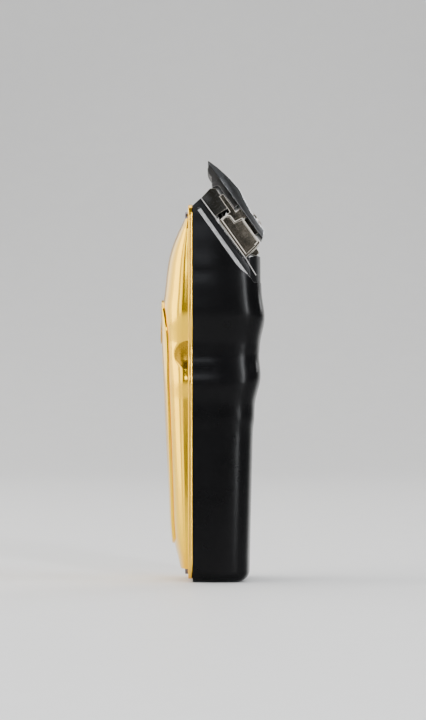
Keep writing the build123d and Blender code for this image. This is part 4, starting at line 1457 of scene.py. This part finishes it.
@dataclass
class Motor:
    """Linear motor with its mover.

    Attributes:
        low: lowest turn of the coil.
        high: highest turn.
        turns: turns in the outer layer.
        wire: radius of the wire.
        reach: half sizes of the coil along X and Y.
        corner: radius of its corners.
    """

    low: float = 101.1
    high: float = 110.3
    turns: int = 22
    wire: float = 0.2
    reach: tuple[float, float] = (10.35, 8.55)
    corner: float = 3.0

    def turn(self) -> bpy.types.Object:
        """One turn of the outer layer of wire."""
        path = []
        for sx, sy, start in ((1, 1, 0), (-1, 1, 90), (-1, -1, 180), (1, -1, 270)):
            for i in range(5):
                a = math.radians(start + 22.5 * i)
                path.append(Vector((sx * (self.reach[0] - self.corner) + self.corner * math.cos(a),
                                    sy * (self.reach[1] - self.corner) + self.corner * math.sin(a), 0.0)))
        work = bmesh.new()
        loops = []
        for i, point in enumerate(path):
            along = (path[(i + 1) % len(path)] - path[i - 1]).normalized()
            side = Vector((along.y, -along.x, 0.0))
            loops.append([work.verts.new((point + side * (self.wire * math.cos(t))
                                          + Vector((0, 0, self.wire * math.sin(t)))) * MM)
                          for t in (math.radians(60 * k) for k in range(6))])
        for i, loop in enumerate(loops):
            after = loops[(i + 1) % len(loops)]
            for k in range(6):
                m = (k + 1) % 6
                work.faces.new((loop[k], loop[m], after[m], after[k]))
        bmesh.ops.recalc_face_normals(work, faces=work.faces)
        mesh = mesh_of("turn", work)
        return link("turn", mesh, None)

    def windings(self) -> None:
        """Lay the outer layer of wire round the coil."""
        step = (self.high - self.low) / (self.turns - 1)
        spots = [Spot(Vector((0.0, 0.0, self.low + i * step)) * MM) for i in range(self.turns)]
        piece = repeated("coil_turns", self.turn(), spots, WARDROBE.of("copper_wire"))
        settle(piece, Body.HOUSING.value, "copper_wire")

    def build(self) -> None:
        """Wind and dress the motor."""
        self.windings()
        up = facing(Vector((0.0, 0.0, 1.0)))
        fit_screws("motor_screws", Body.HOUSING, [
            (Screw(1.35, 0.86, 0.78, 5.6), [Spot(Vector((x, y, 95.6)) * MM, up)
                                            for x in (-8.5, 8.5) for y in (-13.0, 13.0)])])
        WARDROBE.dress("motor_frame", "motor_core", "motor_bobbin", "motor_coil", "motor_pads",
                       "guide_rods", "return_springs", "mover_yoke", "mover_magnets",
                       "mover_bushes", "drive_arm", "drive_tip")


@dataclass
class Power:
    """Cell, chassis, board, leads and the charging socket."""

    board_x: float = -18.0

    def build(self) -> None:
        """Build and dress the power parts."""
        out = facing(Vector((-1.0, 0.0, 0.0)))
        fit_screws("board_screws", Body.HOUSING, [
            (Screw(1.5, 0.86, 0.88, 5.4), [Spot(Vector((self.board_x, y, z)) * MM, out)
                                           for y in (-9.4, 9.4) for z in (64.0, 74.0)])])
        WARDROBE.soften("charge_socket", Body.HOUSING, 0.2)
        WARDROBE.soften("circuit_board", Body.HOUSING, 0.1, 1)
        WARDROBE.soften("board_components", Body.HOUSING, 0.12)
        WARDROBE.dress("power_switch", "battery_cell", "battery_tabs", "inner_chassis",
                       "charge_sleeve", "charge_contact", "charge_leads", "motor_leads")


@dataclass
class Stage:
    """Pale floor, soft studio light and the camera.

    Attributes:
        aim: the point the camera looks at.
        distance: from the aim to the camera, in metres.
        view_height: height of the view at the aim.
        sensor: height of the camera's sensor, in millimetres.
        reach: how far the floor runs to the front and sides.
        back: distance of the backdrop behind the clipper.
        bend: radius of the bend from floor to backdrop.
    """

    aim: Point = (-0.00296, 0.0, 0.09246)
    distance: float = 1.2
    view_height: float = 0.304
    sensor: float = 36.0
    reach: float = 3.5
    back: float = 1.9
    bend: float = 0.8

    def floor(self) -> None:
        """Lay the floor, bending up to a backdrop behind the clipper."""
        shader = Shader("floor_paper")
        grain = shader.noise(60.0, 3.0)
        shader.set(Base_Color=shader.blend(grain, (0.74, 0.74, 0.735), (0.78, 0.78, 0.775)),
                   Roughness=grain * 0.1 + 0.5)
        arc = [math.radians(7.5 * i) for i in range(13)]
        line = [(-self.reach, 0.0), (-1.0, 0.0), (0.0, 0.0), (0.6, 0.0)]
        line += [(self.back - self.bend + self.bend * math.sin(a), self.bend - self.bend * math.cos(a))
                 for a in arc]
        line.append((self.back, 2.6))
        work = bmesh.new()
        columns = [[work.verts.new((x, y, z)) for y, z in line] for x in (-self.reach, self.reach)]
        left, right = columns
        for i in range(len(line) - 1):
            work.faces.new((left[i], right[i], right[i + 1], left[i + 1]))
        mesh = mesh_of("floor", work)
        mesh.shade_smooth()
        link("floor", mesh, shader.material)

    def lamp(self, name: str, place: Point, size: tuple[float, float], watts: float,
             tint: Point = (1.0, 1.0, 1.0)) -> None:
        """Hang one soft rectangular light, pointing at the clipper.

        Args:
            name: the light's name.
            place: where it hangs.
            size: its width and height, in metres.
            watts: its power.
            tint: its colour.
        """
        data = bpy.data.lights.new(name, "AREA")
        data.shape = "RECTANGLE"
        data.size, data.size_y = size
        data.energy = watts
        data.color = tint
        made = bpy.data.objects.new(name, data)
        made.location = place
        made.rotation_euler = (Vector(self.aim) - Vector(place)).to_track_quat("-Z", "Y").to_euler()
        bpy.context.scene.collection.objects.link(made)

    def sky(self) -> None:
        """Surround the stage with grey that pales towards the floor."""
        world = bpy.data.worlds.new("studio")
        world.use_nodes = True
        nodes, links = world.node_tree.nodes, world.node_tree.links
        where = nodes.new("ShaderNodeTexCoord")
        split = nodes.new("ShaderNodeSeparateXYZ")
        fade = nodes.new("ShaderNodeMapRange")
        fade.interpolation_type = "SMOOTHSTEP"
        fade.inputs["From Min"].default_value = -0.05
        fade.inputs["From Max"].default_value = 0.45
        fade.inputs["To Min"].default_value = 0.34
        fade.inputs["To Max"].default_value = 0.16
        links.new(where.outputs["Generated"], split.inputs[0])
        links.new(split.outputs["Z"], fade.inputs["Value"])
        links.new(fade.outputs[0], nodes["Background"].inputs["Strength"])
        nodes["Background"].inputs["Color"].default_value = (1.0, 1.0, 1.0, 1.0)
        bpy.context.scene.world = world

    def build(self) -> None:
        """Set up floor, lights, world and camera."""
        self.floor()
        self.lamp("left_back", (-0.95, 0.95, 0.5), (1.1, 1.2), 9.0, (1.0, 0.985, 0.96))
        self.lamp("left_wall", (-1.05, -0.1, 0.55), (1.7, 1.5), 9.0, (1.0, 0.985, 0.96))
        self.lamp("left_core", (-0.95, 0.05, 0.45), (0.7, 1.34), 12.0, (1.0, 0.985, 0.96))
        self.lamp("left_front", (-0.9, -0.75, 0.5), (0.4, 1.3), 4.0, (1.0, 0.985, 0.96))
        self.lamp("right_strip", (0.5, -1.0, 0.42), (0.12, 0.8), 10.0, (0.95, 0.97, 1.0))
        self.lamp("head_edge", (0.8, -0.2, 0.7), (0.4, 0.4), 5.0, (0.95, 0.97, 1.0))
        self.lamp("brow", (-0.2, -0.75, 0.24), (0.22, 0.14), 0.7, (0.88, 0.93, 1.0))
        self.lamp("top", (0.0, 0.7, 1.7), (1.6, 1.2), 19.0)
        self.lamp("rear", (0.9, 1.0, 0.7), (0.5, 1.0), 6.0)
        self.sky()
        data = bpy.data.cameras.new("camera")
        data.sensor_fit = "VERTICAL"
        data.sensor_height = self.sensor
        data.lens = self.sensor * self.distance / self.view_height
        data.clip_start = 0.01
        made = bpy.data.objects.new("camera", data)
        made.location = Vector(self.aim) + Vector((0.0, -self.distance, 0.0))
        made.rotation_euler = (math.radians(90), 0.0, 0.0)
        bpy.context.scene.collection.objects.link(made)
        bpy.context.scene.camera = made


def main() -> None:
    """Build every sub-assembly."""
    logging.basicConfig(level=logging.INFO, format="%(message)s")
    for part in (Grip(), GiltFront(), CuttingHead(), TaperLever(), Motor(), Power(), Stage()):
        part.build()
        LOG.info("built %s", type(part).__name__)


if __name__ == "__main__":
    main()
